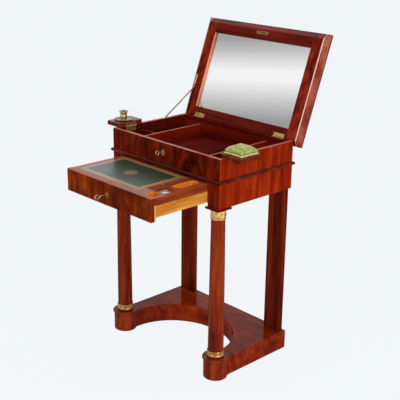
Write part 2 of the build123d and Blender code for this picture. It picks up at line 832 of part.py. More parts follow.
lip_top = board_top + pan_lip
pan_floor = board_top + pan_thickness
inner_lip = pan_lip - pan_thickness
with BuildPart() as drip_pan:
    with BuildSketch(turning(candle_x, candle_y)) as outline:
        with BuildLine():
            Polyline((0, pan_floor), (0, board_top), (pan_radius - pan_lip, board_top))
            ThreePointArc((pan_radius - pan_lip, board_top),
                          (pan_radius - quarter_dip * pan_lip, board_top + quarter_dip * pan_lip),
                          (pan_radius, lip_top))
            Line((pan_radius, lip_top), (pan_radius - pan_thickness, lip_top))
            ThreePointArc((pan_radius - pan_thickness, lip_top),
                          (pan_radius - pan_thickness - quarter_dip * inner_lip,
                           pan_floor + quarter_dip * inner_lip),
                          (pan_radius - pan_lip, pan_floor))
            Line((pan_radius - pan_lip, pan_floor), (0, pan_floor))
        make_face()
    turn(outline, candle_x, candle_y)
keep(drip_pan, "drip_pan")

with BuildPart() as candle_socket:
    with BuildSketch(turning(candle_x, candle_y)) as outline:
        with BuildLine():
            Polyline((candle_bore, socket_top), (candle_bore, socket_top - candle_bore_depth),
                     (0, socket_top - candle_bore_depth), (0, pan_floor),
                     (socket_foot[0], pan_floor), (socket_foot[0], pan_floor + socket_foot[1]))
            ThreePointArc((socket_foot[0], pan_floor + socket_foot[1]),
                          (socket_belly[0], pan_floor + socket_belly[1]),
                          (socket_neck[0], pan_floor + socket_neck[1]))
            ThreePointArc((socket_neck[0], pan_floor + socket_neck[1]),
                          (socket_flare[0], socket_top - socket_flare[1]),
                          (socket_rim, socket_top - socket_lip))
            Polyline((socket_rim, socket_top - socket_lip), (socket_rim, socket_top),
                     (candle_bore, socket_top))
        make_face()
    turn(outline, candle_x, candle_y)
keep(candle_socket, "candle_socket")

# Pincushion: a square pillow with its sides drawn in between the corners and a crowned top


def cushion_outline(z, size):
    half = size / 2
    dip = cushion_drawn_in * size / cushion_size
    corners = [(-half, -half), (half, -half), (half, half), (-half, half)]
    dips = [(0, dip - half), (half - dip, 0), (0, half - dip), (dip - half, 0)]
    with BuildSketch(Plane(origin=(cushion_x, cushion_y, z))) as outline:
        with BuildLine():
            for index in range(4):
                ThreePointArc(corners[index], dips[index], corners[(index + 1) % 4])
        make_face()
    return outline.sketch


with BuildPart() as pincushion:
    loft([cushion_outline(board_top + height, size) for height, size in cushion_profile])
keep(pincushion, "pincushion")

# Drawer: mahogany front, oak sides, back and bottom, and the writing frame on top

with BuildPart() as drawer_front:
    board(-drawer_half_width, drawer_half_width, drawer_front_y, drawer_inner_y,
          drawer_front_bottom, drawer_front_top)
    fillet(drawer_front.edges().group_by(Axis.Y)[0], drawer_front_round)
    cut_lock_housing(drawer_front_y, drawer_inner_y, drawer_key_z, drawer_lock_bottom,
                     drawer_lock_top, drawer_front_top)
keep(drawer_front, "drawer_front")

side_inner = drawer_side - drawer_side_thickness
with BuildPart() as drawer_sides:
    for side in (-1, 1):
        side_x = sorted((side * side_inner, side * drawer_side))
        board(side_x[0], side_x[1], drawer_inner_y, drawer_rear_y, drawer_side_bottom, oak_top)
keep(drawer_sides, "drawer_sides")

drawer_back_y = drawer_rear_y - drawer_back_thickness
with BuildPart() as drawer_back:
    board(-side_inner, side_inner, drawer_back_y, drawer_rear_y, drawer_side_bottom, oak_top)
keep(drawer_back, "drawer_back")

with BuildPart() as drawer_bottom:
    board(-side_inner, side_inner, drawer_inner_y, drawer_back_y,
          drawer_panel_bottom, drawer_panel_top)
keep(drawer_bottom, "drawer_bottom")

pen_middle = ((pen_well[0] + pen_well[1]) / 2, (pen_well[2] + pen_well[3]) / 2)
pen_width = pen_well[1] - pen_well[0]
pen_length = pen_well[3] - pen_well[2]
with BuildPart() as writing_frame:
    board(-drawer_side, drawer_side, drawer_inner_y, drawer_rear_y, oak_top, writing_top)
    board(frame_rail - drawer_side, square_well[0] - frame_rail, drawer_inner_y + frame_rail,
          drawer_rear_y - frame_rail, oak_top, writing_top - writing_board, mode=Mode.SUBTRACT)
    board(leather_left, leather_right, leather_front, leather_back,
          writing_top - leather_thickness, writing_top, mode=Mode.SUBTRACT)
    for well in (square_well, ink_well):
        board(*well, well_floor, writing_top, mode=Mode.SUBTRACT)
    with BuildSketch(Plane.XY.offset(pen_floor - liner_wall)):
        with Locations(pen_middle):
            SlotOverall(pen_length, pen_width, rotation=90)
    extrude(amount=writing_top - pen_floor + liner_wall, mode=Mode.SUBTRACT)
keep(writing_frame, "writing_frame")

with BuildPart() as leather_panel:
    board(leather_left, leather_right, leather_front, leather_back,
          writing_top - leather_thickness, writing_top)
keep(leather_panel, "leather_panel")

liner_top = writing_top - liner_drop
with BuildPart() as square_liner:
    board(*square_well, well_floor, liner_top)
    board(square_well[0] + liner_wall, square_well[1] - liner_wall, square_well[2] + liner_wall,
          square_well[3] - liner_wall, well_floor + liner_wall, liner_top, mode=Mode.SUBTRACT)
keep(square_liner, "square_liner")

with BuildPart() as pen_tray:
    with BuildSketch(Plane.XY.offset(pen_floor - liner_wall)):
        with Locations(pen_middle):
            SlotOverall(pen_length, pen_width, rotation=90)
    extrude(amount=liner_top - pen_floor + liner_wall)
    with BuildSketch(Plane.XY.offset(pen_floor)):
        with Locations(pen_middle):
            SlotOverall(pen_length - 2 * liner_wall, pen_width - 2 * liner_wall, rotation=90)
    extrude(amount=liner_top - pen_floor, mode=Mode.SUBTRACT)
    fillet(pen_tray.edges().filter_by_position(Axis.Z, pen_floor, pen_floor), pen_tray_round)
keep(pen_tray, "pen_tray")

with BuildPart() as ink_block:
    board(*ink_well, well_floor, ink_block_top)
    with BuildSketch(Plane.XY.offset(well_floor + liner_wall)):
        with Locations((ink_x, ink_y)):
            Circle(ink_radius + ink_pot_room)
    extrude(amount=ink_block_top - well_floor, mode=Mode.SUBTRACT)
keep(ink_block, "ink_block")

ink_floor = well_floor + liner_wall
with BuildPart() as ink_pot:
    with BuildSketch(turning(ink_x, ink_y)) as outline:
        with BuildLine():
            Polyline((0, ink_floor), (ink_radius, ink_floor), (ink_radius, ink_pot_top),
                     (ink_radius - ink_pot_wall, ink_pot_top),
                     (ink_radius - ink_pot_wall, ink_floor + ink_pot_wall),
                     (0, ink_floor + ink_pot_wall), close=True)
        make_face()
    turn(outline, ink_x, ink_y)
keep(ink_pot, "ink_pot")

rise = ink_lid_top - ink_pot_top - ink_lid_side
dome = (ink_lid_radius ** 2 + rise ** 2) / (2 * rise)
dome_x = ink_lid_radius * 0.6
dome_z = ink_lid_top - dome + (dome ** 2 - dome_x ** 2) ** 0.5
with BuildPart() as ink_lid:
    with BuildSketch(turning(ink_x, ink_y)) as outline:
        with BuildLine():
            Polyline((0, ink_lid_top), (0, ink_pot_top), (ink_lid_radius, ink_pot_top),
                     (ink_lid_radius, ink_pot_top + ink_lid_side))
            ThreePointArc((ink_lid_radius, ink_pot_top + ink_lid_side), (dome_x, dome_z),
                          (0, ink_lid_top))
        make_face()
    turn(outline, ink_x, ink_y)
keep(ink_lid, "ink_lid")

# Locks: a case let into the wood from behind, a bolt that rises, and a key that turns it

locks = (
    ("upper", case_front, inner_front, upper_key_z, upper_lock_bottom, upper_lock_top,
     rim - bolt_drop, upper_shank, upper_bow, upper_plate),
    ("drawer", drawer_front_y, drawer_inner_y, drawer_key_z, drawer_lock_bottom, drawer_lock_top,
     drawer_front_top - bolt_drop, drawer_shank, drawer_bow, drawer_plate),
)
for word, face_y, inner_y, key_z, bottom, top, bolt_top, shank, bow, plate in locks:
    bolt_back = inner_y - back_plate - bolt_room
    bolt_bottom = key_z + bolt_lift_gap
    with BuildPart() as lock_case:
        board(-lock_half_width, lock_half_width, inner_y - lock_depth, inner_y, bottom, top)
        rod_along_y(0, inner_y - lock_depth, inner_y - lock_depth + key_chamber, key_z,
                    chamber_radius, mode=Mode.SUBTRACT)
        board(-bolt_half_width - bolt_room, bolt_half_width + bolt_room,
              inner_y - lock_depth + key_chamber, inner_y - back_plate,
              key_z - chamber_radius, top, mode=Mode.SUBTRACT)
        rod_along_y(0, inner_y - back_plate, inner_y, key_z, key_tip_hole, mode=Mode.SUBTRACT)
    keep(lock_case, f"{word}_lock_case")

    with BuildPart() as bolt:
        board(-bolt_half_width, bolt_half_width, bolt_back - bolt_thickness, bolt_back,
              bolt_bottom, bolt_top)
    keep(bolt, f"{word}_bolt")

    bow_middle = face_y - shank - bow[0] / 2 + bow_overlap
    with BuildPart() as key:
        rod_along_y(0, face_y - shank, inner_y - key_tip_gap, key_z, key_radius)
        rod_along_y(0, face_y - shank, face_y - shank + key_collar[1], key_z, key_collar[0])
        board(-bit_thickness / 2, bit_thickness / 2, inner_y - lock_depth + bit_gap,
              inner_y - lock_depth + key_chamber - bit_gap, key_z - bit_reach, key_z)
        with BuildSketch(Plane.YZ.offset(-bow_thickness / 2)) as outline:
            with Locations((bow_middle, key_z)):
                Ellipse(bow[0] / 2, bow[1] / 2)
                Ellipse(bow[0] / 2 - bow_wire, bow[1] / 2 - bow_wire, mode=Mode.SUBTRACT)
        extrude(outline.sketch, amount=bow_thickness)
    keep(key, f"{word}_key")

    with BuildPart() as escutcheon:
        with BuildSketch(Plane.XZ.offset(-face_y)) as outline:
            with Locations((0, key_z - plate_drop)):
                Ellipse(plate_waist * plate[0] / 2, plate[1] / 2)
                Ellipse(plate[0] / 2, plate_cross * plate[1] / 2)
            with Locations((0, key_z)):
                Circle(keyhole_radius, mode=Mode.SUBTRACT)
            with Locations((0, key_z - keyhole_drop / 2)):
                Rectangle(keyhole_slot, keyhole_drop, mode=Mode.SUBTRACT)
        extrude(outline.sketch, amount=plate_thickness)
    keep(escutcheon, f"{word}_escutcheon")
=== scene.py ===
# %% [markdown]
# A small dressing, work and writing table in flame mahogany, with gilt mounts, a looking glass in
# its lid and a leather writing drawer. The construction comes ready made, as one mesh for each piece.
# This lesson gives every piece its finish, and makes the soft and small things by mesh code: the
# pincushion with its braid, the embossed capitals, and the screws.
# The frame is loaded first.

# %% Load the construction
import math
import random

import bmesh
import bpy
from mathutils import Matrix, Vector


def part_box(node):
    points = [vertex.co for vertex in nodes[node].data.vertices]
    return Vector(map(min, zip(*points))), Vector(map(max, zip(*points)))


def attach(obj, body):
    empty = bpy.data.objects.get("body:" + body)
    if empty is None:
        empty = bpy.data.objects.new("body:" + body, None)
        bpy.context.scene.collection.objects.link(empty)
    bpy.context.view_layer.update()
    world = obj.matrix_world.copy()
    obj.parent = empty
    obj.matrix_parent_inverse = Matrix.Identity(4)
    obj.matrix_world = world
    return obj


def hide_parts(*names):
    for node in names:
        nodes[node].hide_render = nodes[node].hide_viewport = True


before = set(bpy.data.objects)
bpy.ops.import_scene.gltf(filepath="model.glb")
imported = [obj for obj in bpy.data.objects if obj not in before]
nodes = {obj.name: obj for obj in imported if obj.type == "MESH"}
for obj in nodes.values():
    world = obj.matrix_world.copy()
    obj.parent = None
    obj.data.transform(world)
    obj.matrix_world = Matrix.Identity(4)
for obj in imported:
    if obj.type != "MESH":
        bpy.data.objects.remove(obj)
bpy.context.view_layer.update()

MM = 0.001

# %% [markdown]
# The camera stands in front, to the right and above, as a person does who has just pulled out the
# drawer. Its place and turn are given as real values, and the lens is given by the width of view in
# pixels over the 36 mm width of the sensor.

# %% Camera
camera_place = Vector((2.00505, -2.06662, 1.46611))
camera_yaw = math.radians(46.3118)
camera_pitch = math.radians(-18.9852)
camera_roll = math.radians(0.7415)
focal_pixels = 873.076
picture_pixels = 400
sensor_width = 36.0

forward = Vector((-math.sin(camera_yaw) * math.cos(camera_pitch),
                  math.cos(camera_yaw) * math.cos(camera_pitch), math.sin(camera_pitch)))
level_right = Vector((math.cos(camera_yaw), math.sin(camera_yaw), 0.0))
level_up = level_right.cross(forward)
right = math.cos(camera_roll) * level_right + math.sin(camera_roll) * level_up
up = math.cos(camera_roll) * level_up - math.sin(camera_roll) * level_right

camera_data = bpy.data.cameras.new("view_of_the_table")
camera_data.sensor_width = sensor_width
camera_data.lens = focal_pixels * sensor_width / picture_pixels
camera_data.clip_end = 100.0
camera = bpy.data.objects.new("view_of_the_table", camera_data)
camera.matrix_world = Matrix((
    (right.x, up.x, -forward.x, camera_place.x),
    (right.y, up.y, -forward.y, camera_place.y),
    (right.z, up.z, -forward.z, camera_place.z),
    (0.0, 0.0, 0.0, 1.0)))
bpy.context.collection.objects.link(camera)
scene = bpy.context.scene
scene.camera = camera
scene.view_settings.view_transform = "Standard"
print("lens in mm:", round(camera_data.lens, 2))

# %% [markdown]
# Colours are written as they look on a screen, from 0 to 255. Shaders add up light, so they need the
# same colours on a linear scale, and one helper turns the one into the other.

# %% Colour helper


def colour(red, green, blue):
    def linear(value):
        share = value / 255.0
        return share / 12.92 if share <= 0.04045 else ((share + 0.055) / 1.055) ** 2.4
    return (linear(red), linear(green), linear(blue), 1.0)


studio_pale = colour(242, 246, 249)
print("studio colour:", [round(value, 3) for value in studio_pale[:3]])

# %% [markdown]
# A material is a small graph. These helpers make a fresh graph, put a node in it, and join two
# sockets, so that each recipe below reads as a list of what feeds what.

# %% Graph helpers


def add(tree, kind, **settings):
    node = tree.nodes.new(kind)
    for name, value in settings.items():
        setattr(node, name, value)
    return node


def fill(node, **values):
    for name, value in values.items():
        node.inputs[name.replace("_", " ")].default_value = value
    return node


def join(tree, source, target):
    tree.links.new(source, target)


def maths(tree, operation, first, second=None, clamp=False):
    node = add(tree, "ShaderNodeMath", operation=operation, use_clamp=clamp)
    for index, value in enumerate((first, second)):
        if value is None:
            continue
        if isinstance(value, (int, float)):
            node.inputs[index].default_value = value
        else:
            join(tree, value, node.inputs[index])
    return node.outputs[0]


def remap(tree, value, low, high, to_low=0.0, to_high=1.0):
    node = add(tree, "ShaderNodeMapRange")
    join(tree, value, node.inputs["Value"])
    fill(node, From_Min=low, From_Max=high, To_Min=to_low, To_Max=to_high)
    return node.outputs["Result"]


def mix_colour(tree, factor, first, second, blend="MIX"):
    node = add(tree, "ShaderNodeMix", data_type="RGBA", blend_type=blend)
    for socket, value in ((node.inputs[0], factor), (node.inputs[6], first), (node.inputs[7], second)):
        if isinstance(value, (int, float, tuple)):
            socket.default_value = value
        else:
            join(tree, value, socket)
    return node.outputs[2]


def split(tree, vector):
    node = add(tree, "ShaderNodeSeparateXYZ")
    join(tree, vector, node.inputs[0])
    return node.outputs


def noise(tree, vector, scale, detail=3.0, distortion=0.0, stretch=(1.0, 1.0, 1.0)):
    mapping = add(tree, "ShaderNodeMapping")
    join(tree, vector, mapping.inputs["Vector"])
    mapping.inputs["Scale"].default_value = stretch
    node = add(tree, "ShaderNodeTexNoise")
    join(tree, mapping.outputs[0], node.inputs["Vector"])
    fill(node, Detail=detail, Distortion=distortion)
    if isinstance(scale, (int, float)):
        node.inputs["Scale"].default_value = scale
    else:
        join(tree, scale, node.inputs["Scale"])
    return node.outputs["Fac"]


def new_group(name, inputs, outputs):
    tree = bpy.data.node_groups.new(name, "ShaderNodeTree")
    kinds = {"value": "NodeSocketFloat", "vector": "NodeSocketVector", "colour": "NodeSocketColor"}
    for word, kind in inputs:
        tree.interface.new_socket(word, in_out="INPUT", socket_type=kinds[kind])
    for word, kind in outputs:
        tree.interface.new_socket(word, in_out="OUTPUT", socket_type=kinds[kind])
    return tree, add(tree, "NodeGroupInput").outputs, add(tree, "NodeGroupOutput").inputs


# %% [markdown]
# The table stands on a plain pale floor in a plain pale studio. The world shows its pale colour to
# the eye and in reflections, through the Light Path node, and gives a lower, even light to the rest.
# The floor does the same, so it melts into the background and still keeps the table's soft shadow.

# %% World and floor
ambient_strength = 0.42

world = bpy.data.worlds.new("studio")
scene.world = world
world.use_nodes = True
sky = world.node_tree
sky.nodes.clear()


def seen_directly(tree):
    path = add(tree, "ShaderNodeLightPath")
    camera_or_gloss = maths(tree, "MAXIMUM", path.outputs["Is Camera Ray"],
                            path.outputs["Is Glossy Ray"])
    return maths(tree, "MAXIMUM", camera_or_gloss, path.outputs["Is Transmission Ray"])


shown = add(sky, "ShaderNodeBackground")
fill(shown, Color=studio_pale, Strength=1.0)
lighting = add(sky, "ShaderNodeBackground")
fill(lighting, Color=(1.0, 1.0, 1.0, 1.0), Strength=ambient_strength)
sky_mix = add(sky, "ShaderNodeMixShader")
join(sky, seen_directly(sky), sky_mix.inputs[0])
join(sky, lighting.outputs[0], sky_mix.inputs[1])
join(sky, shown.outputs[0], sky_mix.inputs[2])
join(sky, sky_mix.outputs[0], add(sky, "ShaderNodeOutputWorld").inputs["Surface"])

floor_size = 30.0
floor_mesh = bpy.data.meshes.new("floor")
half_floor = floor_size / 2
floor_mesh.from_pydata([(-half_floor, -half_floor, 0), (half_floor, -half_floor, 0),
                        (half_floor, half_floor, 0), (-half_floor, half_floor, 0)], [], [(0, 1, 2, 3)])
floor = bpy.data.objects.new("floor", floor_mesh)
bpy.context.collection.objects.link(floor)

floor_material = bpy.data.materials.new("floor_pale")
floor_material.use_nodes = True
floor_tree = floor_material.node_tree
floor_tree.nodes.clear()
floor_glow = add(floor_tree, "ShaderNodeEmission")
fill(floor_glow, Color=colour(243, 247, 250), Strength=1.0)
floor_matt = add(floor_tree, "ShaderNodeBsdfDiffuse")
fill(floor_matt, Color=studio_pale)
floor_mix = add(floor_tree, "ShaderNodeMixShader")
floor_share = 0.965
join(floor_tree, maths(floor_tree, "MULTIPLY", seen_directly(floor_tree), floor_share),
     floor_mix.inputs[0])
join(floor_tree, floor_matt.outputs[0], floor_mix.inputs[1])
join(floor_tree, floor_glow.outputs[0], floor_mix.inputs[2])
join(floor_tree, floor_mix.outputs[0], add(floor_tree, "ShaderNodeOutputMaterial").inputs["Surface"])
floor.data.materials.append(floor_material)
print("floor is", floor_size, "m wide")

# %% [markdown]
# Two tall soft boxes stand left and right of the camera and a third hangs overhead. The tall ones are
# placed to draw a pair of long upright highlights on the turned columns.

# %% Lamps
table_middle = Vector((0.0, -0.2, 0.6))


def soft_box(name, place, width, height, power):
    lamp = bpy.data.lights.new(name, "AREA")
    lamp.shape = "RECTANGLE"
    lamp.size = width
    lamp.size_y = height
    lamp.energy = power
    lamp_object = bpy.data.objects.new(name, lamp)
    lamp_object.location = place
    lamp_object.rotation_mode = "QUATERNION"
    lamp_object.rotation_quaternion = (table_middle - Vector(place)).to_track_quat("-Z", "Y")
    bpy.context.collection.objects.link(lamp_object)
    return lamp_object


soft_box("right_box", (3.1, -0.8, 1.4), 0.8, 2.2, 56.0)
soft_box("left_box", (0.35, -3.4, 1.4), 0.5, 2.2, 24.0)
soft_box("top_box", (0.3, -0.6, 3.2), 1.6, 1.6, 24.0)

# %% [markdown]
# Mahogany veneer has three things to see: broad dark and bright streaks along the grain, a wavy
# flame figure where the trunk forked, and fine dark pores. One group makes all three from the
# place on the piece, so that every wooden piece can have its own colours and amounts. The grain
# runs along the group's Z, and each material turns it to suit its piece.

# %% Wood group
wood_group, wood_in, wood_out = new_group(
    "polished_wood",
    [("Vector", "vector"), ("Dark", "colour"), ("Middle", "colour"), ("Light", "colour"),
     ("Streak Scale", "value"), ("Flame Scale", "value"), ("Flame Amount", "value"),
     ("Pore Amount", "value")],
    [("Color", "colour"), ("Roughness", "value"), ("Height", "value")])

streaks = noise(wood_group, wood_in["Vector"], wood_in["Streak Scale"],
                detail=5.0, distortion=0.5, stretch=(1.0, 1.0, 0.07))
flames = noise(wood_group, wood_in["Vector"], wood_in["Flame Scale"],
               detail=4.0, distortion=2.4, stretch=(1.0, 1.0, 0.5))
pore_scale = 700.0
pores = remap(wood_group, noise(wood_group, wood_in["Vector"], pore_scale, detail=2.0,
                                stretch=(1.0, 1.0, 0.03)), 0.56, 0.7)
flame_share = maths(wood_group, "MULTIPLY", flames, wood_in["Flame Amount"])
streak_share = maths(wood_group, "MULTIPLY", streaks,
                     maths(wood_group, "SUBTRACT", 1.0, wood_in["Flame Amount"]))
tone = remap(wood_group, maths(wood_group, "ADD", flame_share, streak_share), 0.33, 0.67)
lower_tone = maths(wood_group, "MULTIPLY", tone, 2.0, clamp=True)
upper_tone = maths(wood_group, "SUBTRACT", maths(wood_group, "MULTIPLY", tone, 2.0), 1.0,
                   clamp=True)
ground = mix_colour(wood_group, lower_tone, wood_in["Dark"], wood_in["Middle"])
ground = mix_colour(wood_group, upper_tone, ground, wood_in["Light"])
pore_share = maths(wood_group, "MULTIPLY", pores, wood_in["Pore Amount"], clamp=True)
join(wood_group, mix_colour(wood_group, pore_share, ground, wood_in["Dark"]),
     wood_out["Color"])
join(wood_group, remap(wood_group, streaks, 0.3, 0.7, 0.17, 0.3), wood_out["Roughness"])
join(wood_group, maths(wood_group, "SUBTRACT", maths(wood_group, "MULTIPLY", flames, 0.4),
                       pore_share), wood_out["Height"])
print("wood group:", [item.name for item in wood_group.interface.items_tree])

# %% [markdown]
# The best veneer, cut from a fork, has a feather: dark arches that rise round a centre. It is a set
# of stretched rings, broken up by noise. The group gives a mask from the place on the piece and the
# place of the feather's foot.

# %% Feather group
feather_group, feather_in, feather_out = new_group(
    "feather_figure",
    [("Vector", "vector"), ("Foot", "vector"), ("Spread", "vector"), ("Rings", "value")],
    [("Mask", "value")])
from_foot = add(feather_group, "ShaderNodeVectorMath", operation="SUBTRACT")
join(feather_group, feather_in["Vector"], from_foot.inputs[0])
join(feather_group, feather_in["Foot"], from_foot.inputs[1])
in_spread = add(feather_group, "ShaderNodeVectorMath", operation="DIVIDE")
join(feather_group, from_foot.outputs[0], in_spread.inputs[0])
join(feather_group, feather_in["Spread"], in_spread.inputs[1])
reach = add(feather_group, "ShaderNodeVectorMath", operation="LENGTH")
join(feather_group, in_spread.outputs[0], reach.inputs[0])
break_up = 0.9
broken = maths(feather_group, "MULTIPLY",
               noise(feather_group, in_spread.outputs[0], 1.7, detail=4.0, distortion=0.8),
               break_up)
ring_phase = maths(feather_group, "MULTIPLY",
                   maths(feather_group, "ADD", reach.outputs["Value"], broken),
                   feather_in["Rings"])
ring_wave = remap(feather_group, maths(feather_group, "SINE", ring_phase), -1.0, 1.0)
fade = remap(feather_group, reach.outputs["Value"], 0.7, 1.6, 1.0, 0.0)
join(feather_group, maths(feather_group, "MULTIPLY", ring_wave, fade), feather_out["Mask"])
print("feather group made")

# %% [markdown]
# Brass and gilding darken in patches and stay bright where hands rub them. Silver plate, steel and
# the leather age the same way, so the patches are a group of their own, with a clean and a dull
# colour and two roughnesses.

# %% Ageing group
age_group, age_in, age_out = new_group(
    "aged_patches",
    [("Vector", "vector"), ("Clean", "colour"), ("Dull", "colour"), ("Patch Scale", "value"),
     ("Dullness", "value"), ("Clean Roughness", "value"), ("Dull Roughness", "value")],
    [("Color", "colour"), ("Roughness", "value"), ("Height", "value")])
patches = noise(age_group, age_in["Vector"], age_in["Patch Scale"], detail=5.0,
                distortion=0.4)
speck_scale = 1400.0
specks = noise(age_group, age_in["Vector"], speck_scale, detail=2.0)
patch_mask = remap(age_group, patches, 0.38, 0.64)
dulling = maths(age_group, "MULTIPLY", patch_mask, age_in["Dullness"], clamp=True)
join(age_group, mix_colour(age_group, dulling, age_in["Clean"], age_in["Dull"]),
     age_out["Color"])
rough_mix = add(age_group, "ShaderNodeMix", data_type="FLOAT")
join(age_group, dulling, rough_mix.inputs[0])
join(age_group, age_in["Clean Roughness"], rough_mix.inputs[2])
join(age_group, age_in["Dull Roughness"], rough_mix.inputs[3])
join(age_group, rough_mix.outputs[0], age_out["Roughness"])
join(age_group, specks, age_out["Height"])
print("ageing group made")

# %% [markdown]
# Every material starts the same way: a Principled shader, a bump, and the place on the piece. The
# place is in metres in the table's own frame, so neighbours cut from one board share their figure.

# %% Material base
def new_material(name, bump_strength=0.2, bump_distance=0.0004):
    material = bpy.data.materials.new(name)
    material.use_nodes = True
    tree = material.node_tree
    tree.nodes.clear()
    shader = add(tree, "ShaderNodeBsdfPrincipled")
    join(tree, shader.outputs[0], add(tree, "ShaderNodeOutputMaterial").inputs["Surface"])
    bump = add(tree, "ShaderNodeBump")
    fill(bump, Strength=bump_strength, Distance=bump_distance)
    join(tree, bump.outputs[0], shader.inputs["Normal"])
    place = add(tree, "ShaderNodeTexCoord").outputs["Object"]
    return material, tree, shader, bump, place


def turned(tree, place, angles):
    mapping = add(tree, "ShaderNodeMapping")
    join(tree, place, mapping.inputs["Vector"])
    mapping.inputs["Rotation"].default_value = tuple(math.radians(angle) for angle in angles)
    return mapping.outputs[0]


def use_group(tree, group, vector, **values):
    node = add(tree, "ShaderNodeGroup", node_tree=group)
    join(tree, vector, node.inputs["Vector"])
    return fill(node, **values)


def plug(tree, source, shader, bump, tone=None):
    shown_tone = source.outputs["Color"] if tone is None else tone
    join(tree, shown_tone, shader.inputs["Base Color"])
    join(tree, source.outputs["Roughness"], shader.inputs["Roughness"])
    join(tree, source.outputs["Height"], bump.inputs["Height"])


def dress(material, *names):
    for name in names:
        slots = nodes[name].data.materials
        if len(slots) == 0:
            slots.append(material)
        for index in range(len(slots)):
            slots[index] = material


# %% [markdown]
# French polish is a thin clear film, so the wood has no shine of its own and the shine is a coat over
# it. Flat tops are dusted and polished most and keep the strongest film, so the coat is stronger where
# the surface looks up. Faces that look up can also take a painted sheen: a pale pink tone mixed into the
# colour, standing for the studio's light reflected off the tops. The recipe takes the three tones of
# the wood, the way its grain runs, and how strong its flame is.

# %% Mahogany recipe
ALONG_X = (0.0, 90.0, 0.0)
ALONG_Y = (90.0, 0.0, 0.0)
UPRIGHT = (0.0, 0.0, 0.0)
lid_lean = 20.1
ALONG_LID = (-lid_lean, 0.0, 0.0)
# Pale pink of the painted sheen on faces that look up, standing for reflected studio light
painted_top_sheen_tone = colour(196, 118, 98)
film_gloss = 0.06
veneer_bump = 0.12


def polish_film(tree, shader, upright, on_top, shine=0.0):
    facing = add(tree, "ShaderNodeVectorMath", operation="DOT_PRODUCT")
    join(tree, add(tree, "ShaderNodeTexCoord").outputs["Normal"], facing.inputs[0])
    facing.inputs[1].default_value = (0.0, 0.0, 1.0)
    fill(shader, Specular_IOR_Level=shine, Coat_Roughness=film_gloss)
    join(tree, remap(tree, facing.outputs["Value"], 0.55, 0.9, upright, on_top),
         shader.inputs["Coat Weight"])
    return remap(tree, facing.outputs["Value"], 0.85, 0.95)


def wood(name, dark, middle, light, grain, streak=38.0, flame=9.0, flame_amount=0.35, pores=0.5,
         coat=0.04, top_coat=0.45, shine=0.0, feather=None, feather_tone=None, feather_amount=0.75,
         rubbed_top=0.0):
    material, tree, shader, bump, place = new_material(name, veneer_bump)
    veneer = use_group(tree, wood_group, turned(tree, place, grain), Dark=dark, Middle=middle,
                       Light=light, Streak_Scale=streak, Flame_Scale=flame,
                       Flame_Amount=flame_amount, Pore_Amount=pores)
    finished = veneer.outputs["Color"]
    if feather:
        foot, spread, rings = feather
        figure = use_group(tree, feather_group, place, Foot=foot, Spread=spread, Rings=rings)
        depth = maths(tree, "MULTIPLY", figure.outputs["Mask"], feather_amount)
        finished = mix_colour(tree, depth, finished, feather_tone)
    facing_up = polish_film(tree, shader, coat, top_coat, shine)
    # Painted sheen: faces that look up are mixed toward the pale pink tone
    if rubbed_top:
        finished = mix_colour(tree, maths(tree, "MULTIPLY", facing_up, rubbed_top), finished,
                              painted_top_sheen_tone)
    plug(tree, veneer, shader, bump, finished)
    return material, tree, shader, finished, place


def veneer_pieces(pieces, name, *tones_and_grain, **ways):
    dress(wood(name, *tones_and_grain, **ways)[0], *pieces)


front_dark = colour(48, 6, 2)
front_middle = colour(94, 21, 6)
front_light = colour(138, 44, 12)
warm_dark = colour(98, 16, 2)
warm_middle = colour(140, 34, 4)
warm_light = colour(168, 56, 14)
deep_dark = colour(58, 8, 4)
deep_middle = colour(94, 18, 8)
deep_light = colour(126, 34, 14)
print("rubbed tone:", [round(value, 3) for value in painted_top_sheen_tone[:3]])

# %% [markdown]
# The case is veneered like a chest: upright figure on the front with a dark feather right of the
# middle, plainer and warmer wood on the sides, and darker solid wood inside the well. The sides are
# one board each, so a mask from the place keeps their inner faces as dark as the well.

# %% Case materials
veneer_pieces(("upper_front_panel", "front_stiles", "drawer_rail"), "case_front_mahogany", front_dark,
              front_middle, front_light, UPRIGHT, streak=44.0, flame=13.0, flame_amount=0.5,
              feather=((0.135, -0.315, 0.672), (0.052, 0.2, 0.06), 7.0), feather_tone=colour(34, 3, 1),
              rubbed_top=0.7)
side_material, side_tree, side_shader, side_veneer, side_place = wood(
    "case_side_mahogany", warm_dark, warm_middle, warm_light, UPRIGHT, streak=46.0, flame=8.0,
    flame_amount=0.3, rubbed_top=0.7)
inner_side = 242.4 * MM
inner_darkness = 0.85
side_x = maths(side_tree, "ABSOLUTE", split(side_tree, side_place)["X"])
inside = remap(side_tree, side_x, inner_side, inner_side + 0.2 * MM, inner_darkness, 0.0)
join(side_tree, mix_colour(side_tree, inside, side_veneer, deep_dark), side_shader.inputs["Base Color"])
dress(side_material, "side_left", "side_right")
veneer_pieces(("back_panel",), "back_panel_mahogany", deep_dark, deep_middle, deep_light, ALONG_X,
              streak=26.0, flame_amount=0.2)
veneer_pieces(("compartment_floor",), "well_mahogany", colour(66, 14, 12), colour(84, 22, 18),
              colour(100, 32, 26), ALONG_Y, streak=24.0, flame_amount=0.3, top_coat=0.6)
veneer_pieces(("long_dividers",), "divider_mahogany", colour(88, 14, 8), colour(122, 26, 14),
              colour(150, 42, 26), ALONG_Y, streak=30.0, flame_amount=0.2, rubbed_top=0.7)
veneer_pieces(("cross_dividers",), "cross_divider_mahogany", colour(66, 14, 8), colour(100, 28, 16),
              colour(128, 42, 26), ALONG_X, streak=30.0, flame_amount=0.2)
veneer_pieces(("waist_moulding",), "moulding_mahogany", front_dark, colour(80, 16, 8),
              colour(112, 32, 16), ALONG_X, streak=30.0, flame_amount=0.1, coat=0.25, top_coat=0.4)
veneer_pieces(("abacus_plates",), "square_plate_mahogany", front_dark, front_middle, warm_dark, ALONG_X)
print("case materials:", len(bpy.data.materials))

# %% [markdown]
# The supports are veneered with upright grain. The plinth's flat top takes the long diagonal sheen
# of the studio, and its sides are as warm as the sides of the case.

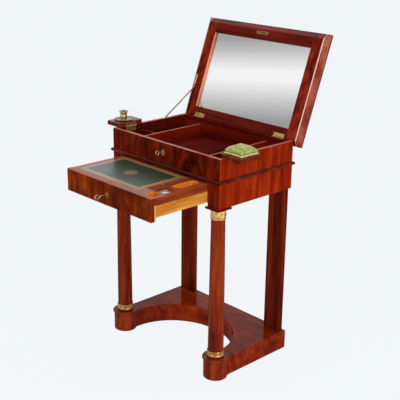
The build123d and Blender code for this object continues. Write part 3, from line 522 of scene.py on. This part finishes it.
# %% Support materials
veneer_pieces(("column_left", "column_right"), "column_mahogany", colour(76, 14, 1), colour(116, 34, 6),
              colour(154, 58, 16), UPRIGHT, streak=60.0, flame=14.0, flame_amount=0.2, coat=0.15)
veneer_pieces(("drum_left", "drum_right"), "drum_mahogany", colour(78, 14, 2), colour(118, 32, 6),
              colour(150, 52, 18), UPRIGHT, streak=50.0, flame=20.0, flame_amount=0.3, coat=0.15)
veneer_pieces(("rear_post_left", "rear_post_right"), "post_mahogany", colour(56, 10, 2),
              colour(94, 24, 7), colour(128, 44, 16), UPRIGHT, streak=42.0, flame=8.0,
              flame_amount=0.25)
veneer_pieces(("plinth",), "plinth_mahogany", colour(82, 16, 3), colour(128, 36, 8),
              colour(158, 56, 18), ALONG_X, streak=26.0, flame=14.0, flame_amount=0.5, coat=0.08,
              top_coat=0.36)
print("support materials:", len(bpy.data.materials))

# %% [markdown]
# The lid's frame is cut like a picture frame: the grain follows each rail. A mask from the place
# across the lid tells side rails from cross rails, and two readings of the wood group are mixed.
# The side bevels carry a painted sheen, a paler tone mottled by noise, and a painted highlight along
# the arris, which is the sharp edge where a bevel meets the face. The walls beside the looking glass are
# painted pale salmon, as if lit. The silvering carries a painted reflection: a bright band with darker
# grey above and below it.

# %% Lid materials
mirror_half_width = 218.5 * MM

lid_material, lid, lid_shader, lid_bump, lid_place = new_material("lid_frame_mahogany", veneer_bump)


def rail_grain(direction, middle, light):
    return use_group(lid, wood_group, turned(lid, lid_place, direction), Dark=deep_dark,
                     Middle=middle, Light=light, Streak_Scale=34.0, Flame_Scale=10.0,
                     Flame_Amount=0.2, Pore_Amount=0.4)


side_grain = rail_grain(ALONG_LID, colour(112, 26, 8), colour(146, 44, 18))
cross_grain = rail_grain(ALONG_X, colour(96, 20, 7), colour(124, 34, 15))
from_middle = maths(lid, "ABSOLUTE", split(lid, lid_place)["X"])
on_side_rail = remap(lid, from_middle, mirror_half_width - 0.3 * MM, mirror_half_width + 0.3 * MM)
rail_tone = mix_colour(lid, on_side_rail, cross_grain.outputs["Color"],
                       side_grain.outputs["Color"])

bevel_start = 258.5 * MM
on_bevel = remap(lid, from_middle, bevel_start + 0.2 * MM, bevel_start + 0.6 * MM)
# Painted sheen on the bevels: a paler tone, mottled by noise
rubbed = noise(lid, lid_place, 26.0, detail=4.0, stretch=(1.0, 1.0, 0.5))
bevel_painted_sheen = mix_colour(lid, remap(lid, rubbed, 0.42, 0.68), colour(118, 42, 24),
                        colour(172, 98, 78))
rail_and_bevel = mix_colour(lid, on_bevel, rail_tone, bevel_painted_sheen)
# Painted highlight: a pale line along the arris
arris_highlight_fade = remap(lid, from_middle, bevel_start + 1.2 * MM, bevel_start + 2.4 * MM, 0.9, 0.0)
arris_painted_highlight = maths(lid, "MULTIPLY", arris_highlight_fade,
                 remap(lid, from_middle, bevel_start - 0.8 * MM, bevel_start - 0.2 * MM))
with_arris_highlight = mix_colour(lid, arris_painted_highlight, rail_and_bevel, colour(230, 194, 184))

# Painted light: the sideways walls round the glass are made pale salmon, as if lit
lid_facing = split(lid, add(lid, "ShaderNodeTexCoord").outputs["Normal"])
faces_sideways = remap(lid, maths(lid, "ABSOLUTE", lid_facing["X"]), 0.85, 0.95)
round_the_glass = remap(lid, from_middle, mirror_half_width + 0.5 * MM,
                        mirror_half_width + 0.8 * MM, 1.0, 0.0)
glass_wall_painted_light = maths(lid, "MULTIPLY", faces_sideways, round_the_glass)
with_wall_painted_light = mix_colour(lid, glass_wall_painted_light, with_arris_highlight, colour(212, 134, 104))
plug(lid, side_grain, lid_shader, lid_bump, with_wall_painted_light)
polish_film(lid, lid_shader, 0.08, 0.5)
dress(lid_material, "lid_frame")

veneer_pieces(("lid_top_panel",), "lid_top_mahogany", colour(64, 12, 5), colour(114, 32, 14),
              colour(146, 54, 28), ALONG_X, streak=24.0, flame=9.0, flame_amount=0.5, coat=0.25,
              feather=((0.0, 0.06, 0.78), (0.14, 0.2, 0.26), 9.0), feather_tone=colour(44, 8, 5),
              feather_amount=0.35)

glass_material, glass, glass_shader, glass_bump, glass_place = new_material("looking_glass", 0.01)
glass_spot = split(glass, glass_place)
mirror_low, mirror_high = (corner.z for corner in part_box("mirror_glass"))
# Painted reflection: the silvering's colour is a tilted bright band with darker grey above and below
reflection_band_tilt = 0.46
reflection_band_place = maths(glass, "SUBTRACT",
               remap(glass, glass_spot["Z"], mirror_low, mirror_high),
               maths(glass, "MULTIPLY", glass_spot["X"], reflection_band_tilt))
painted_reflection_ramp = add(glass, "ShaderNodeValToRGB")
painted_reflection_stops = ((0.0, 0.36), (0.2, 0.6), (0.48, 1.0), (0.6, 1.0), (0.84, 0.6), (1.0, 0.4))
green_share = 0.965
blue_share = 0.94
while len(painted_reflection_ramp.color_ramp.elements) < len(painted_reflection_stops):
    painted_reflection_ramp.color_ramp.elements.new(0.5)
for element, (position, level) in zip(painted_reflection_ramp.color_ramp.elements, painted_reflection_stops):
    element.position = position
    element.color = (level, level * green_share, level * blue_share, 1.0)
join(glass, reflection_band_place, painted_reflection_ramp.inputs[0])
join(glass, painted_reflection_ramp.outputs[0], glass_shader.inputs["Base Color"])
silvering = noise(glass, glass_place, 30.0)
join(glass, remap(glass, silvering, 0.3, 0.7, 0.015, 0.05), glass_shader.inputs["Roughness"])
join(glass, silvering, glass_bump.inputs["Height"])
fill(glass_shader, Metallic=1.0)
dress(glass_material, "mirror_glass")
print("lid materials:", len(bpy.data.materials))

# %% [markdown]
# The drawer has a warm veneered front, a mahogany writing frame and linings of pale oak. Where the
# sides are dovetailed into the front, the end grain shows as a golden strip along the rear edge of
# the front's end, and a mask from the place puts it there.

# %% Drawer materials
front_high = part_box("drawer_front")[1]
dovetail_strip = 5.0 * MM

drawer_wood, drawer, drawer_shader, drawer_veneer, drawer_place = wood(
    "drawer_front_mahogany", colour(70, 13, 0), colour(118, 38, 4), colour(156, 66, 16), UPRIGHT,
    streak=36.0, flame=15.0, flame_amount=0.65, rubbed_top=0.5,
    feather=((0.1, -0.541, 0.6), (0.09, 0.3, 0.07), 6.0), feather_tone=colour(60, 14, 6))
drawer_spot = split(drawer, drawer_place)
strip_start = front_high.y - dovetail_strip
strip_top = 632.0 * MM
behind = remap(drawer, drawer_spot["Y"], strip_start, strip_start + 0.4 * MM)
below = remap(drawer, drawer_spot["Z"], strip_top + 0.5 * MM, strip_top - 0.5 * MM)
strip = maths(drawer, "MULTIPLY", behind, below)
join(drawer, mix_colour(drawer, strip, drawer_veneer, colour(206, 152, 96)),
     drawer_shader.inputs["Base Color"])
dress(drawer_wood, "drawer_front")

veneer_pieces(("writing_frame",), "writing_frame_mahogany", colour(96, 30, 12), colour(140, 58, 26),
              colour(168, 82, 42), ALONG_Y, streak=30.0, flame_amount=0.2, top_coat=0.8,
              rubbed_top=0.12)
veneer_pieces(("drawer_sides", "drawer_guides"), "drawer_oak", colour(160, 86, 18),
              colour(198, 126, 44), colour(224, 164, 84), ALONG_Y, streak=60.0, flame=20.0,
              flame_amount=0.15, pores=0.7, coat=0.0, top_coat=0.0, shine=0.04)
veneer_pieces(("drawer_back", "drawer_bottom", "bottom_board", "mirror_backboard"), "cross_oak",
              colour(150, 90, 40), colour(186, 126, 64), colour(210, 158, 96), ALONG_X, streak=50.0,
              flame=16.0, flame_amount=0.15, pores=0.7, coat=0.0, top_coat=0.0, shine=0.1)
veneer_pieces(("pen_tray", "square_liner"), "tray_satinwood", colour(186, 96, 20), colour(222, 134, 38),
              colour(240, 164, 66), ALONG_Y, streak=70.0, flame_amount=0.2, pores=0.25, coat=0.1,
              top_coat=0.1, shine=0.15)
veneer_pieces(("ink_block",), "ink_block_wood", colour(150, 112, 76), colour(190, 150, 108),
              colour(216, 182, 142), ALONG_Y, streak=70.0, flame_amount=0.2, pores=0.4)
veneer_pieces(("candle_board", "pincushion_board"), "small_board_mahogany", colour(60, 12, 5),
              colour(98, 30, 14), colour(128, 50, 26), ALONG_Y, streak=40.0, flame_amount=0.3,
              top_coat=0.8)
print("drawer materials:", len(bpy.data.materials))

# %% [markdown]
# The metals share one recipe: full metal, coloured and roughened by the ageing patches. The ink pot
# is thick glass.

# %% Metals
metal_bump = 0.15


def metal(pieces, name, clean, dull, patch_scale, dullness, clean_rough, dull_rough):
    material, tree, shader, bump, place = new_material(name, metal_bump)
    aged = use_group(tree, age_group, place, Clean=clean, Dull=dull, Patch_Scale=patch_scale,
                     Dullness=dullness, Clean_Roughness=clean_rough, Dull_Roughness=dull_rough)
    plug(tree, aged, shader, bump)
    fill(shader, Metallic=1.0)
    dress(material, *pieces)
    return material


gilt = metal(("capital_bands",), "gilt_bronze", colour(224, 182, 114), colour(158, 112, 58),
             90.0, 0.85, 0.34, 0.5)
old_brass = metal(("case_hinge_leaves", "lid_hinge_leaves", "upper_escutcheon", "board_wall_leaves",
                   "candle_board_leaf", "pincushion_board_leaf", "upper_lock_case",
                   "drawer_lock_case"), "old_brass", colour(204, 164, 100), colour(124, 90, 54),
                  120.0, 0.9, 0.38, 0.55)
metal(("base_rings",), "ring_brass", colour(184, 134, 78), colour(108, 68, 34), 60.0, 0.75, 0.26, 0.42)
metal(("drawer_escutcheon", "strike_plate"), "plate_brass", colour(158, 116, 70), colour(84, 50, 28),
      160.0, 0.9, 0.4, 0.6)
metal(("stay_bracket", "stay_plate", "stay_lower_arm", "stay_upper_arm"), "stay_brass",
      colour(226, 200, 150), colour(150, 122, 80), 90.0, 0.7, 0.34, 0.5)
metal(("upper_key", "drawer_key", "upper_bolt", "drawer_bolt"), "key_steel", colour(240, 222, 196),
      colour(150, 120, 96), 160.0, 0.6, 0.26, 0.42)
metal(("ink_lid",), "silver_plate", colour(214, 208, 196), colour(138, 124, 100), 110.0, 0.6, 0.2, 0.4)
metal(("drip_pan", "candle_socket"), "candle_brass", colour(190, 170, 132), colour(112, 88, 54),
      100.0, 0.75, 0.25, 0.45)

pot_material, pot, pot_shader, pot_bump, pot_place = new_material("ink_glass", 0.05)
seeds = noise(pot, pot_place, 300.0)
join(pot, mix_colour(pot, seeds, colour(196, 210, 206), colour(166, 186, 182)),
     pot_shader.inputs["Base Color"])
join(pot, seeds, pot_bump.inputs["Height"])
fill(pot_shader, Transmission_Weight=0.9, Roughness=0.05, IOR=1.5)
dress(pot_material, "ink_pot")
print("all materials:", len(bpy.data.materials))

# %% [markdown]
# The writing leather is dark green skiver, tooled in gold: a band of small ornaments between two
# lines runs round it, and a round flower sits in the middle. Tooling has no thickness to speak of, so
# it is colour and gloss, worked out from the distance to the leather's edge and to the middle.

# %% Leather
leather_low, leather_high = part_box("leather_panel")
leather_middle = (leather_low + leather_high) / 2
band_inset = 9.5 * MM
band_half = 5.5 * MM
line_half = 0.5 * MM
flower_radius = 24.0 * MM

leather, skin, skin_shader, skin_bump, skin_place = new_material("tooled_leather", 0.25, 0.0003)
spot = split(skin, skin_place)
middle_x = maths(skin, "SUBTRACT", spot["X"], leather_middle.x)
middle_y = maths(skin, "SUBTRACT", spot["Y"], leather_middle.y)
edge_x = maths(skin, "SUBTRACT", (leather_high.x - leather_low.x) / 2,
               maths(skin, "ABSOLUTE", middle_x))
edge_y = maths(skin, "SUBTRACT", (leather_high.y - leather_low.y) / 2,
               maths(skin, "ABSOLUTE", middle_y))
from_edge = maths(skin, "MINIMUM", edge_x, edge_y)


def line_at(inset, half):
    away = maths(skin, "ABSOLUTE", maths(skin, "SUBTRACT", from_edge, inset))
    return remap(skin, away, half, half + 0.5 * MM, 1.0, 0.0)


in_band = line_at(band_inset, band_half)
two_lines = maths(skin, "MAXIMUM", line_at(band_inset - band_half, line_half),
                  line_at(band_inset + band_half, line_half))
ornament_pitch = 8.0 * MM
wave_x = maths(skin, "SINE", maths(skin, "MULTIPLY", middle_x, 2 * math.pi / ornament_pitch))
wave_y = maths(skin, "SINE", maths(skin, "MULTIPLY", middle_y, 2 * math.pi / ornament_pitch))
ornament = remap(skin, maths(skin, "ABSOLUTE", maths(skin, "ADD", wave_x, wave_y)), 0.25, 0.6)
banded = maths(skin, "MULTIPLY", in_band, ornament)
flat_x = maths(skin, "DIVIDE", middle_x, flower_radius)
flat_y = maths(skin, "DIVIDE", middle_y, flower_radius)
around = maths(skin, "ARCTAN2", flat_y, flat_x)
squares = maths(skin, "ADD", maths(skin, "MULTIPLY", flat_x, flat_x),
                maths(skin, "MULTIPLY", flat_y, flat_y))
out_from_middle = maths(skin, "SQRT", squares)
petal_count = 12.0
petal_depth = 0.13
ring_rate = 26.0
petal_wave = maths(skin, "SINE", maths(skin, "MULTIPLY", around, petal_count))
petals = maths(skin, "MULTIPLY", petal_wave, petal_depth)
petal_edge = maths(skin, "ADD", out_from_middle, petals)
flower = remap(skin, petal_edge, 0.86, 0.94, 1.0, 0.0)
ring_lines = maths(skin, "SINE", maths(skin, "MULTIPLY", petal_edge, ring_rate))
flower_rings = remap(skin, ring_lines, -0.6, 0.2)
tooled = maths(skin, "MAXIMUM", maths(skin, "MAXIMUM", banded, two_lines),
               maths(skin, "MULTIPLY", flower, flower_rings))
gold_left = remap(skin, noise(skin, skin_place, 160.0, detail=4.0), 0.32, 0.5, 0.35, 1.0)
gold = maths(skin, "MULTIPLY", tooled, gold_left, clamp=True)
aged_skin = use_group(skin, age_group, skin_place, Clean=colour(36, 62, 38), Dull=colour(22, 40, 24),
                      Patch_Scale=14.0, Dullness=0.9, Clean_Roughness=0.34, Dull_Roughness=0.42)
edge_fade = remap(skin, from_edge, band_inset + band_half, band_inset + band_half + 5 * MM, 1.0, 0.0)
border_tone = mix_colour(skin, maths(skin, "MULTIPLY", edge_fade, 0.8),
                         aged_skin.outputs["Color"], colour(136, 104, 70))
join(skin, mix_colour(skin, gold, border_tone, colour(186, 152, 98)), skin_shader.inputs["Base Color"])
join(skin, maths(skin, "MULTIPLY", gold, 0.5), skin_shader.inputs["Metallic"])
join(skin, aged_skin.outputs["Roughness"], skin_shader.inputs["Roughness"])
pebble = add(skin, "ShaderNodeTexVoronoi")
join(skin, skin_place, pebble.inputs["Vector"])
fill(pebble, Scale=900.0)
join(skin, pebble.outputs["Distance"], skin_bump.inputs["Height"])
fill(skin_shader, Specular_IOR_Level=0.6, Coat_Weight=0.35, Coat_Roughness=0.25)
dress(leather, "leather_panel")
print("leather is", [round(value, 3) for value in (leather_high - leather_low)])

# %% [markdown]
# New pieces are built with bmesh, which holds loose corners and faces until they are written to a
# mesh. Each one then rides on the body that carries it and names the finish that it takes.

# %% Piece helper


def new_piece(name, mesh_maker, material, body):
    mesh = bpy.data.meshes.new(name)
    work = bmesh.new()
    mesh_maker(work)
    bmesh.ops.recalc_face_normals(work, faces=work.faces)
    work.to_mesh(mesh)
    work.free()
    piece = bpy.data.objects.new(name, mesh)
    bpy.context.collection.objects.link(piece)
    mesh.materials.append(material)
    for face in mesh.polygons:
        face.use_smooth = True
    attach(piece, body)
    return piece


def closed_grid(work, rows):
    # Rows of corners that close round an axis, joined by quads, with the first row joined to the last
    corners = [[work.verts.new(point) for point in row] for row in rows]
    count = len(corners[0])
    for row, following in zip(corners, corners[1:] + corners[:1]):
        for index in range(count):
            nearby = (index + 1) % count
            work.faces.new((row[index], row[nearby], following[nearby], following[index]))


# %% [markdown]
# The gilt capitals are thin bronze pressed into leaves and rosettes. A sleeve is drawn as rings of
# corners, and each corner moves out by a formula: tall leaves stand round the sleeve, small ones
# between them, and each has a rib. The sleeve stays inside the square plate above it.

# %% Embossed capitals
band_bottom = 549.5 * MM
band_top = 572.5 * MM
band_radius = 23.3 * MM
relief = 1.9 * MM
sleeve_wall = 0.8 * MM
leaf_count = 9
around_count = 216
up_count = 30
small_leaf_top = 0.45
scroll_place = 0.84
scroll_width = 0.07


def leaf_relief(angle, share):
    tall = math.cos(leaf_count * angle / 2) ** 2
    between = math.sin(leaf_count * angle / 2) ** 2
    edge_lift = 0.75 + 0.25 * abs(math.sin(leaf_count * angle))
    tall_leaf = max(0.0, tall - (share ** 1.6) * 0.95) * edge_lift
    small_leaf = max(0.0, between - (share / small_leaf_top) ** 2) * 0.7
    rib = 0.35 * math.exp(-((1 - tall) * 16) ** 2) * (1 - share)
    curls = 0.55 + 0.45 * math.cos(2 * leaf_count * angle)
    scroll = 0.55 * math.exp(-((share - scroll_place) / scroll_width) ** 2) * curls
    return max(tall_leaf, small_leaf) * 0.8 + rib + scroll


def sleeve(centre_x, centre_y):
    def build(work):
        rows = []
        for row in range(up_count + 1):
            share = row / up_count
            height = band_bottom + (band_top - band_bottom) * share
            edge = min(1.0, 6 * share, 6 * (1 - share))
            ring = []
            for step in range(around_count):
                angle = 2 * math.pi * step / around_count
                radius = band_radius + relief * edge * min(1.0, leaf_relief(angle, share))
                ring.append((centre_x + radius * math.cos(angle), centre_y + radius * math.sin(angle),
                             height))
            rows.append(ring)
        inner = band_radius - sleeve_wall
        for height in (band_top, band_bottom):
            rows.append([(centre_x + inner * math.cos(2 * math.pi * step / around_count),
                          centre_y + inner * math.sin(2 * math.pi * step / around_count), height)
                         for step in range(around_count)])
        closed_grid(work, rows)
    return build


for side_word, side_sign in (("left", -1), ("right", 1)):
    low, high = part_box(f"column_{side_word}")
    middle = (low + high) / 2
    new_piece(f"capital_leaves_{side_word}", sleeve(middle.x, middle.y), gilt, "case")
print("capital relief in mm:", round(relief / MM, 2))

# %% [markdown]
# Screws hold the hinges, the plates and the leaves. A countersunk head is a shallow dome with a slot,
# low enough to pass between the lid and the rim when the lid is shut. The dome is two halves with the
# slot between them, and all heads on one body are one piece.

# %% Screw heads
slot_share = 0.14
dome_share = 0.08
arc_steps = 10


def screw_half(work, place, to_world, radius, side_sign, turn_by):
    slot_half = radius * slot_share
    dome = radius * dome_share
    first_angle = math.asin(slot_share)
    arc = [first_angle + (math.pi - 2 * first_angle) * step / arc_steps for step in range(arc_steps + 1)]
    outline = [(radius * math.cos(angle), radius * math.sin(angle)) for angle in arc]

    def point(x, y, height):
        x, y = x * side_sign, y * side_sign
        turned_x = x * math.cos(turn_by) - y * math.sin(turn_by)
        turned_y = x * math.sin(turn_by) + y * math.cos(turn_by)
        return place + to_world @ Vector((turned_x, turned_y, height))

    rim = [work.verts.new(point(x, y, 0.0)) for x, y in outline]
    foot = [work.verts.new(point(x, y, -dome)) for x, y in outline]
    top = work.verts.new(point(0.0, slot_half, dome))
    low_middle = work.verts.new(point(0.0, slot_half, -dome))
    for index in range(len(outline) - 1):
        work.faces.new((rim[index], rim[index + 1], top))
        work.faces.new((foot[index + 1], foot[index], low_middle))
        work.faces.new((rim[index + 1], rim[index], foot[index], foot[index + 1]))
    work.faces.new((rim[0], top, low_middle, foot[0]))
    work.faces.new((top, rim[-1], foot[-1], low_middle))


def screws(places, outward, radius):
    to_world = Vector(outward).to_track_quat("Z", "Y").to_matrix()

    def build(work):
        for count, place in enumerate(places):
            for side_sign in (-1, 1):
                screw_half(work, Vector(place), to_world, radius, side_sign, 0.7 * count + 0.3)
    return build


open_angle = math.radians(110.1)
hinge_line = Vector((0.0, 18.5 * MM, 740 * MM))


def lid_point(x, along, out):
    return Vector((x, hinge_line.y - along * math.cos(open_angle) + out * math.sin(open_angle),
                   hinge_line.z + along * math.sin(open_angle) + out * math.cos(open_angle)))


inward = Vector((0.0, -math.sin(open_angle), -math.cos(open_angle)))
hinge_middle = 187 * MM
hinge_pitch = 17 * MM
screw_radius = 1.6 * MM
rim_height = 740 * MM
shut_gap = 0.3 * MM
lid_row = 8 * MM
case_row = 10.2 * MM
strike_along = 324 * MM
strike_half = 21 * MM
stay_x_on_lid = -252.4 * MM
stay_x_on_case = -246.3 * MM

hinge_places = [side_sign * hinge_middle + shift for side_sign in (-1, 1)
                for shift in (-hinge_pitch, 0.0, hinge_pitch)]
lid_spots = [lid_point(x, lid_row, shut_gap) for x in hinge_places]
lid_spots += [lid_point(side_sign * strike_half, strike_along, shut_gap) for side_sign in (-1, 1)]
lid_spots += [lid_point(stay_x_on_lid, along, shut_gap) for along in (118 * MM, 138 * MM)]
new_piece("lid_screws", screws(lid_spots, inward, screw_radius), old_brass, "lid")

case_spots = [(x, case_row, rim_height - shut_gap) for x in hinge_places]
case_spots += [(stay_x_on_case, y, rim_height) for y in (-99 * MM, -67 * MM)]
new_piece("case_screws", screws(case_spots, (0, 0, 1), screw_radius), old_brass, "case")
print("screws:", len(lid_spots) + len(case_spots))

# %% [markdown]
# The pincushion is a small square pillow stuffed hard with bran. Cloth is the way to get the skin of
# a stuffed thing: the plain pillow is cut into small even faces, blown up from inside while gravity
# is off, and kept from moving further than a millimetre or two. Then the sides are gathered in at the
# seam, and a painted shade darkens the pile along it. The braid comes after it.

# %% Pincushion
random.seed(7)
cushion_low, cushion_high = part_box("pincushion")
cushion_middle = (cushion_low + cushion_high) / 2
voxel = 3.0 * MM
most_swell = 1.6 * MM
most_side_swell = 0.4 * MM

velvet, pile, pile_shader, pile_bump, pile_place = new_material("green_velvet", 0.5, 0.0006)
nap = noise(pile, pile_place, 60.0, detail=4.0, distortion=0.6)
fibre = noise(pile, pile_place, 1500.0, detail=2.0)
worn = mix_colour(pile, remap(pile, nap, 0.35, 0.65), colour(138, 142, 54), colour(204, 206, 132))
woven = mix_colour(pile, remap(pile, fibre, 0.4, 0.7), worn, colour(116, 120, 46))
# Painted shade: the pile is darkened in a band along the seam's crease
seam_rise = 7.5 * MM
above_seam = maths(pile, "SUBTRACT", split(pile, pile_place)["Z"], cushion_low.z + seam_rise)
from_seam = maths(pile, "ABSOLUTE", above_seam)
seam_painted_shade = remap(pile, from_seam, 1.0 * MM, 3.0 * MM, 0.7, 0.0)
join(pile, mix_colour(pile, seam_painted_shade, woven, colour(78, 88, 26)), pile_shader.inputs["Base Color"])
join(pile, remap(pile, nap, 0.3, 0.7, 0.7, 0.95), pile_shader.inputs["Roughness"])
join(pile, fibre, pile_bump.inputs["Height"])
fill(pile_shader, Sheen_Weight=0.6, Sheen_Roughness=0.4, Specular_IOR_Level=0.2)

cushion_mesh = nodes["pincushion"].data.copy()
cushion = bpy.data.objects.new("stuffed_pincushion", cushion_mesh)
bpy.context.collection.objects.link(cushion)
cushion.data.materials.clear()
cushion.data.materials.append(velvet)
bpy.context.view_layer.objects.active = cushion
cushion.select_set(True)
remesh = cushion.modifiers.new("even_faces", "REMESH")
remesh.mode = "VOXEL"
remesh.voxel_size = voxel
bpy.ops.object.modifier_apply(modifier="even_faces")
start_shape = [vertex.co.copy() for vertex in cushion.data.vertices]
print("pincushion faces:", len(cushion.data.polygons))

# %% Stuff the pincushion
stuffing_frames = 20
seam_share = 0.3
seam_width = 0.16
seam_depth = 3.2 * MM
pucker_rate = 38
pucker_depth = 0.25 * MM
board_top = 754 * MM
cloth = cushion.modifiers.new("stuffing", "CLOTH")
cloth.settings.use_pressure = True
cloth.settings.uniform_pressure_force = 4.0
cloth.settings.effector_weights.gravity = 0.0
cloth.settings.mass = 0.2
for step in range(1, stuffing_frames + 1):
    scene.frame_set(step)
stuffed = cushion.evaluated_get(bpy.context.evaluated_depsgraph_get()).data
for vertex, before, after in zip(cushion.data.vertices, start_shape, stuffed.vertices):
    move = after.co - before
    move.x = max(-most_side_swell, min(most_side_swell, move.x))
    move.y = max(-most_side_swell, min(most_side_swell, move.y))
    move.z = max(-most_swell, min(most_swell, move.z))
    place = before + move
    place.z = max(place.z, board_top + 0.1 * MM)
    vertex.co = place
cushion.modifiers.remove(cloth)
scene.frame_set(1)
for vertex in cushion.data.vertices:
    share = (vertex.co.z - cushion_low.z) / (cushion_high.z - cushion_low.z)
    across_x = (vertex.co.x - cushion_middle.x) / (cushion_high.x - cushion_middle.x)
    across_y = (vertex.co.y - cushion_middle.y) / (cushion_high.y - cushion_middle.y)
    pucker = math.sin(pucker_rate * across_x) * math.sin(pucker_rate * across_y)
    pucker *= pucker_depth * (1 - share)
    near_seam = math.exp(-((share - seam_share) / seam_width) ** 2)
    between_corners = 1 - min(1.0, abs(across_x * across_y)) ** 2
    gathered = near_seam * (0.4 + 0.6 * between_corners) * seam_depth
    vertex.co += Vector((across_x, across_y, 0.0)) * (pucker - gathered)
finer = cushion.modifiers.new("finer", "SUBSURF")
finer.levels = 1
finer.render_levels = 1
bpy.ops.object.modifier_apply(modifier="finer")
for face in cushion.data.polygons:
    face.use_smooth = True
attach(cushion, "pincushion_flap")
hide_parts("pincushion")
print("stuffed pincushion:", len(cushion.data.vertices), "corners")

# %% [markdown]
# A twisted braid hides the seam. Two strands wind round each other along the pillow's square
# outline, whose sides bow inwards between the corners. A frayed tuft stands at one corner.

# %% Braid and tuft
seam_height = board_top + 3.2 * MM
braid_strand = 1.5 * MM
braid_twist = 1.2 * MM
twist_pitch = 7.0 * MM
half_seam = 34.2 * MM
bow_in = 2.0 * MM
strand_sides = 8
upwards = Vector((0, 0, 1))
steps_a_side = 72

braid_thread, thread, thread_shader, thread_bump, thread_place = new_material("gold_braid", 0.6)
thread_wear = use_group(thread, age_group, thread_place, Clean=colour(236, 226, 160),
                        Dull=colour(178, 166, 92), Patch_Scale=120.0, Dullness=0.8,
                        Clean_Roughness=0.5, Dull_Roughness=0.8)
plug(thread, thread_wear, thread_shader, thread_bump)
fill(thread_shader, Sheen_Weight=0.3)


def seam_path():
    corners = [(-1, -1), (1, -1), (1, 1), (-1, 1)]
    path = []
    for index, (x0, y0) in enumerate(corners):
        x1, y1 = corners[(index + 1) % 4]
        for step in range(steps_a_side):
            share = step / steps_a_side
            inwards = bow_in * math.sin(math.pi * share)
            x = (x0 + (x1 - x0) * share) * half_seam - (x0 + x1) / 2 * inwards
            y = (y0 + (y1 - y0) * share) * half_seam - (y0 + y1) / 2 * inwards
            path.append(Vector((cushion_middle.x + x, cushion_middle.y + y, seam_height)))
    return path


def braid(work):
    path = seam_path()
    length = sum((path[(index + 1) % len(path)] - path[index]).length for index in range(len(path)))
    turns = round(length / twist_pitch)
    for strand in (0.0, math.pi):
        rows = []
        for index, middle_point in enumerate(path):
            ahead = (path[(index + 1) % len(path)] - path[index - 1]).normalized()
            side = ahead.cross(upwards)
            angle = 2 * math.pi * turns * index / len(path) + strand
            centre = middle_point + braid_twist * (math.cos(angle) * side + math.sin(angle) * upwards)
            rows.append([centre + braid_strand * (math.cos(2 * math.pi * step / strand_sides) * side
                                                  + math.sin(2 * math.pi * step / strand_sides) * upwards)
                         for step in range(strand_sides)])
        closed_grid(work, rows)


thread_count = 60
thread_thickness = 0.45 * MM


def tuft(work):
    foot = Vector((cushion_middle.x + half_seam, cushion_middle.y + half_seam, seam_height + 2 * MM))
    for _ in range(thread_count):
        lean = Vector((random.uniform(-0.4, 1.0), random.uniform(-0.4, 1.0), random.uniform(-0.3, 0.9)))
        lean.normalize()
        length = random.uniform(2.2, 4.2) * MM
        bend = Vector((0.0, 0.0, random.uniform(-1.0, 0.5) * MM))
        side = lean.cross(upwards).normalized()
        other = side.cross(lean)
        rows = []
        for step in range(5):
            share = step / 4
            centre = foot + lean * length * share + bend * share * share
            width = thread_thickness * (1 - 0.6 * share)
            around = [math.cos(angle) * side + math.sin(angle) * other for angle in (0.0, 2.094, 4.189)]
            rows.append([work.verts.new(centre + width * outwards) for outwards in around])
        for row, following in zip(rows, rows[1:]):
            for index in range(3):
                work.faces.new((row[index], row[(index + 1) % 3], following[(index + 1) % 3],
                                following[index]))
        work.faces.new(rows[0])
        work.faces.new(reversed(rows[-1]))


new_piece("pincushion_braid", braid, braid_thread, "pincushion_flap")
new_piece("pincushion_tuft", tuft, braid_thread, "pincushion_flap")
print("braid and tuft made")
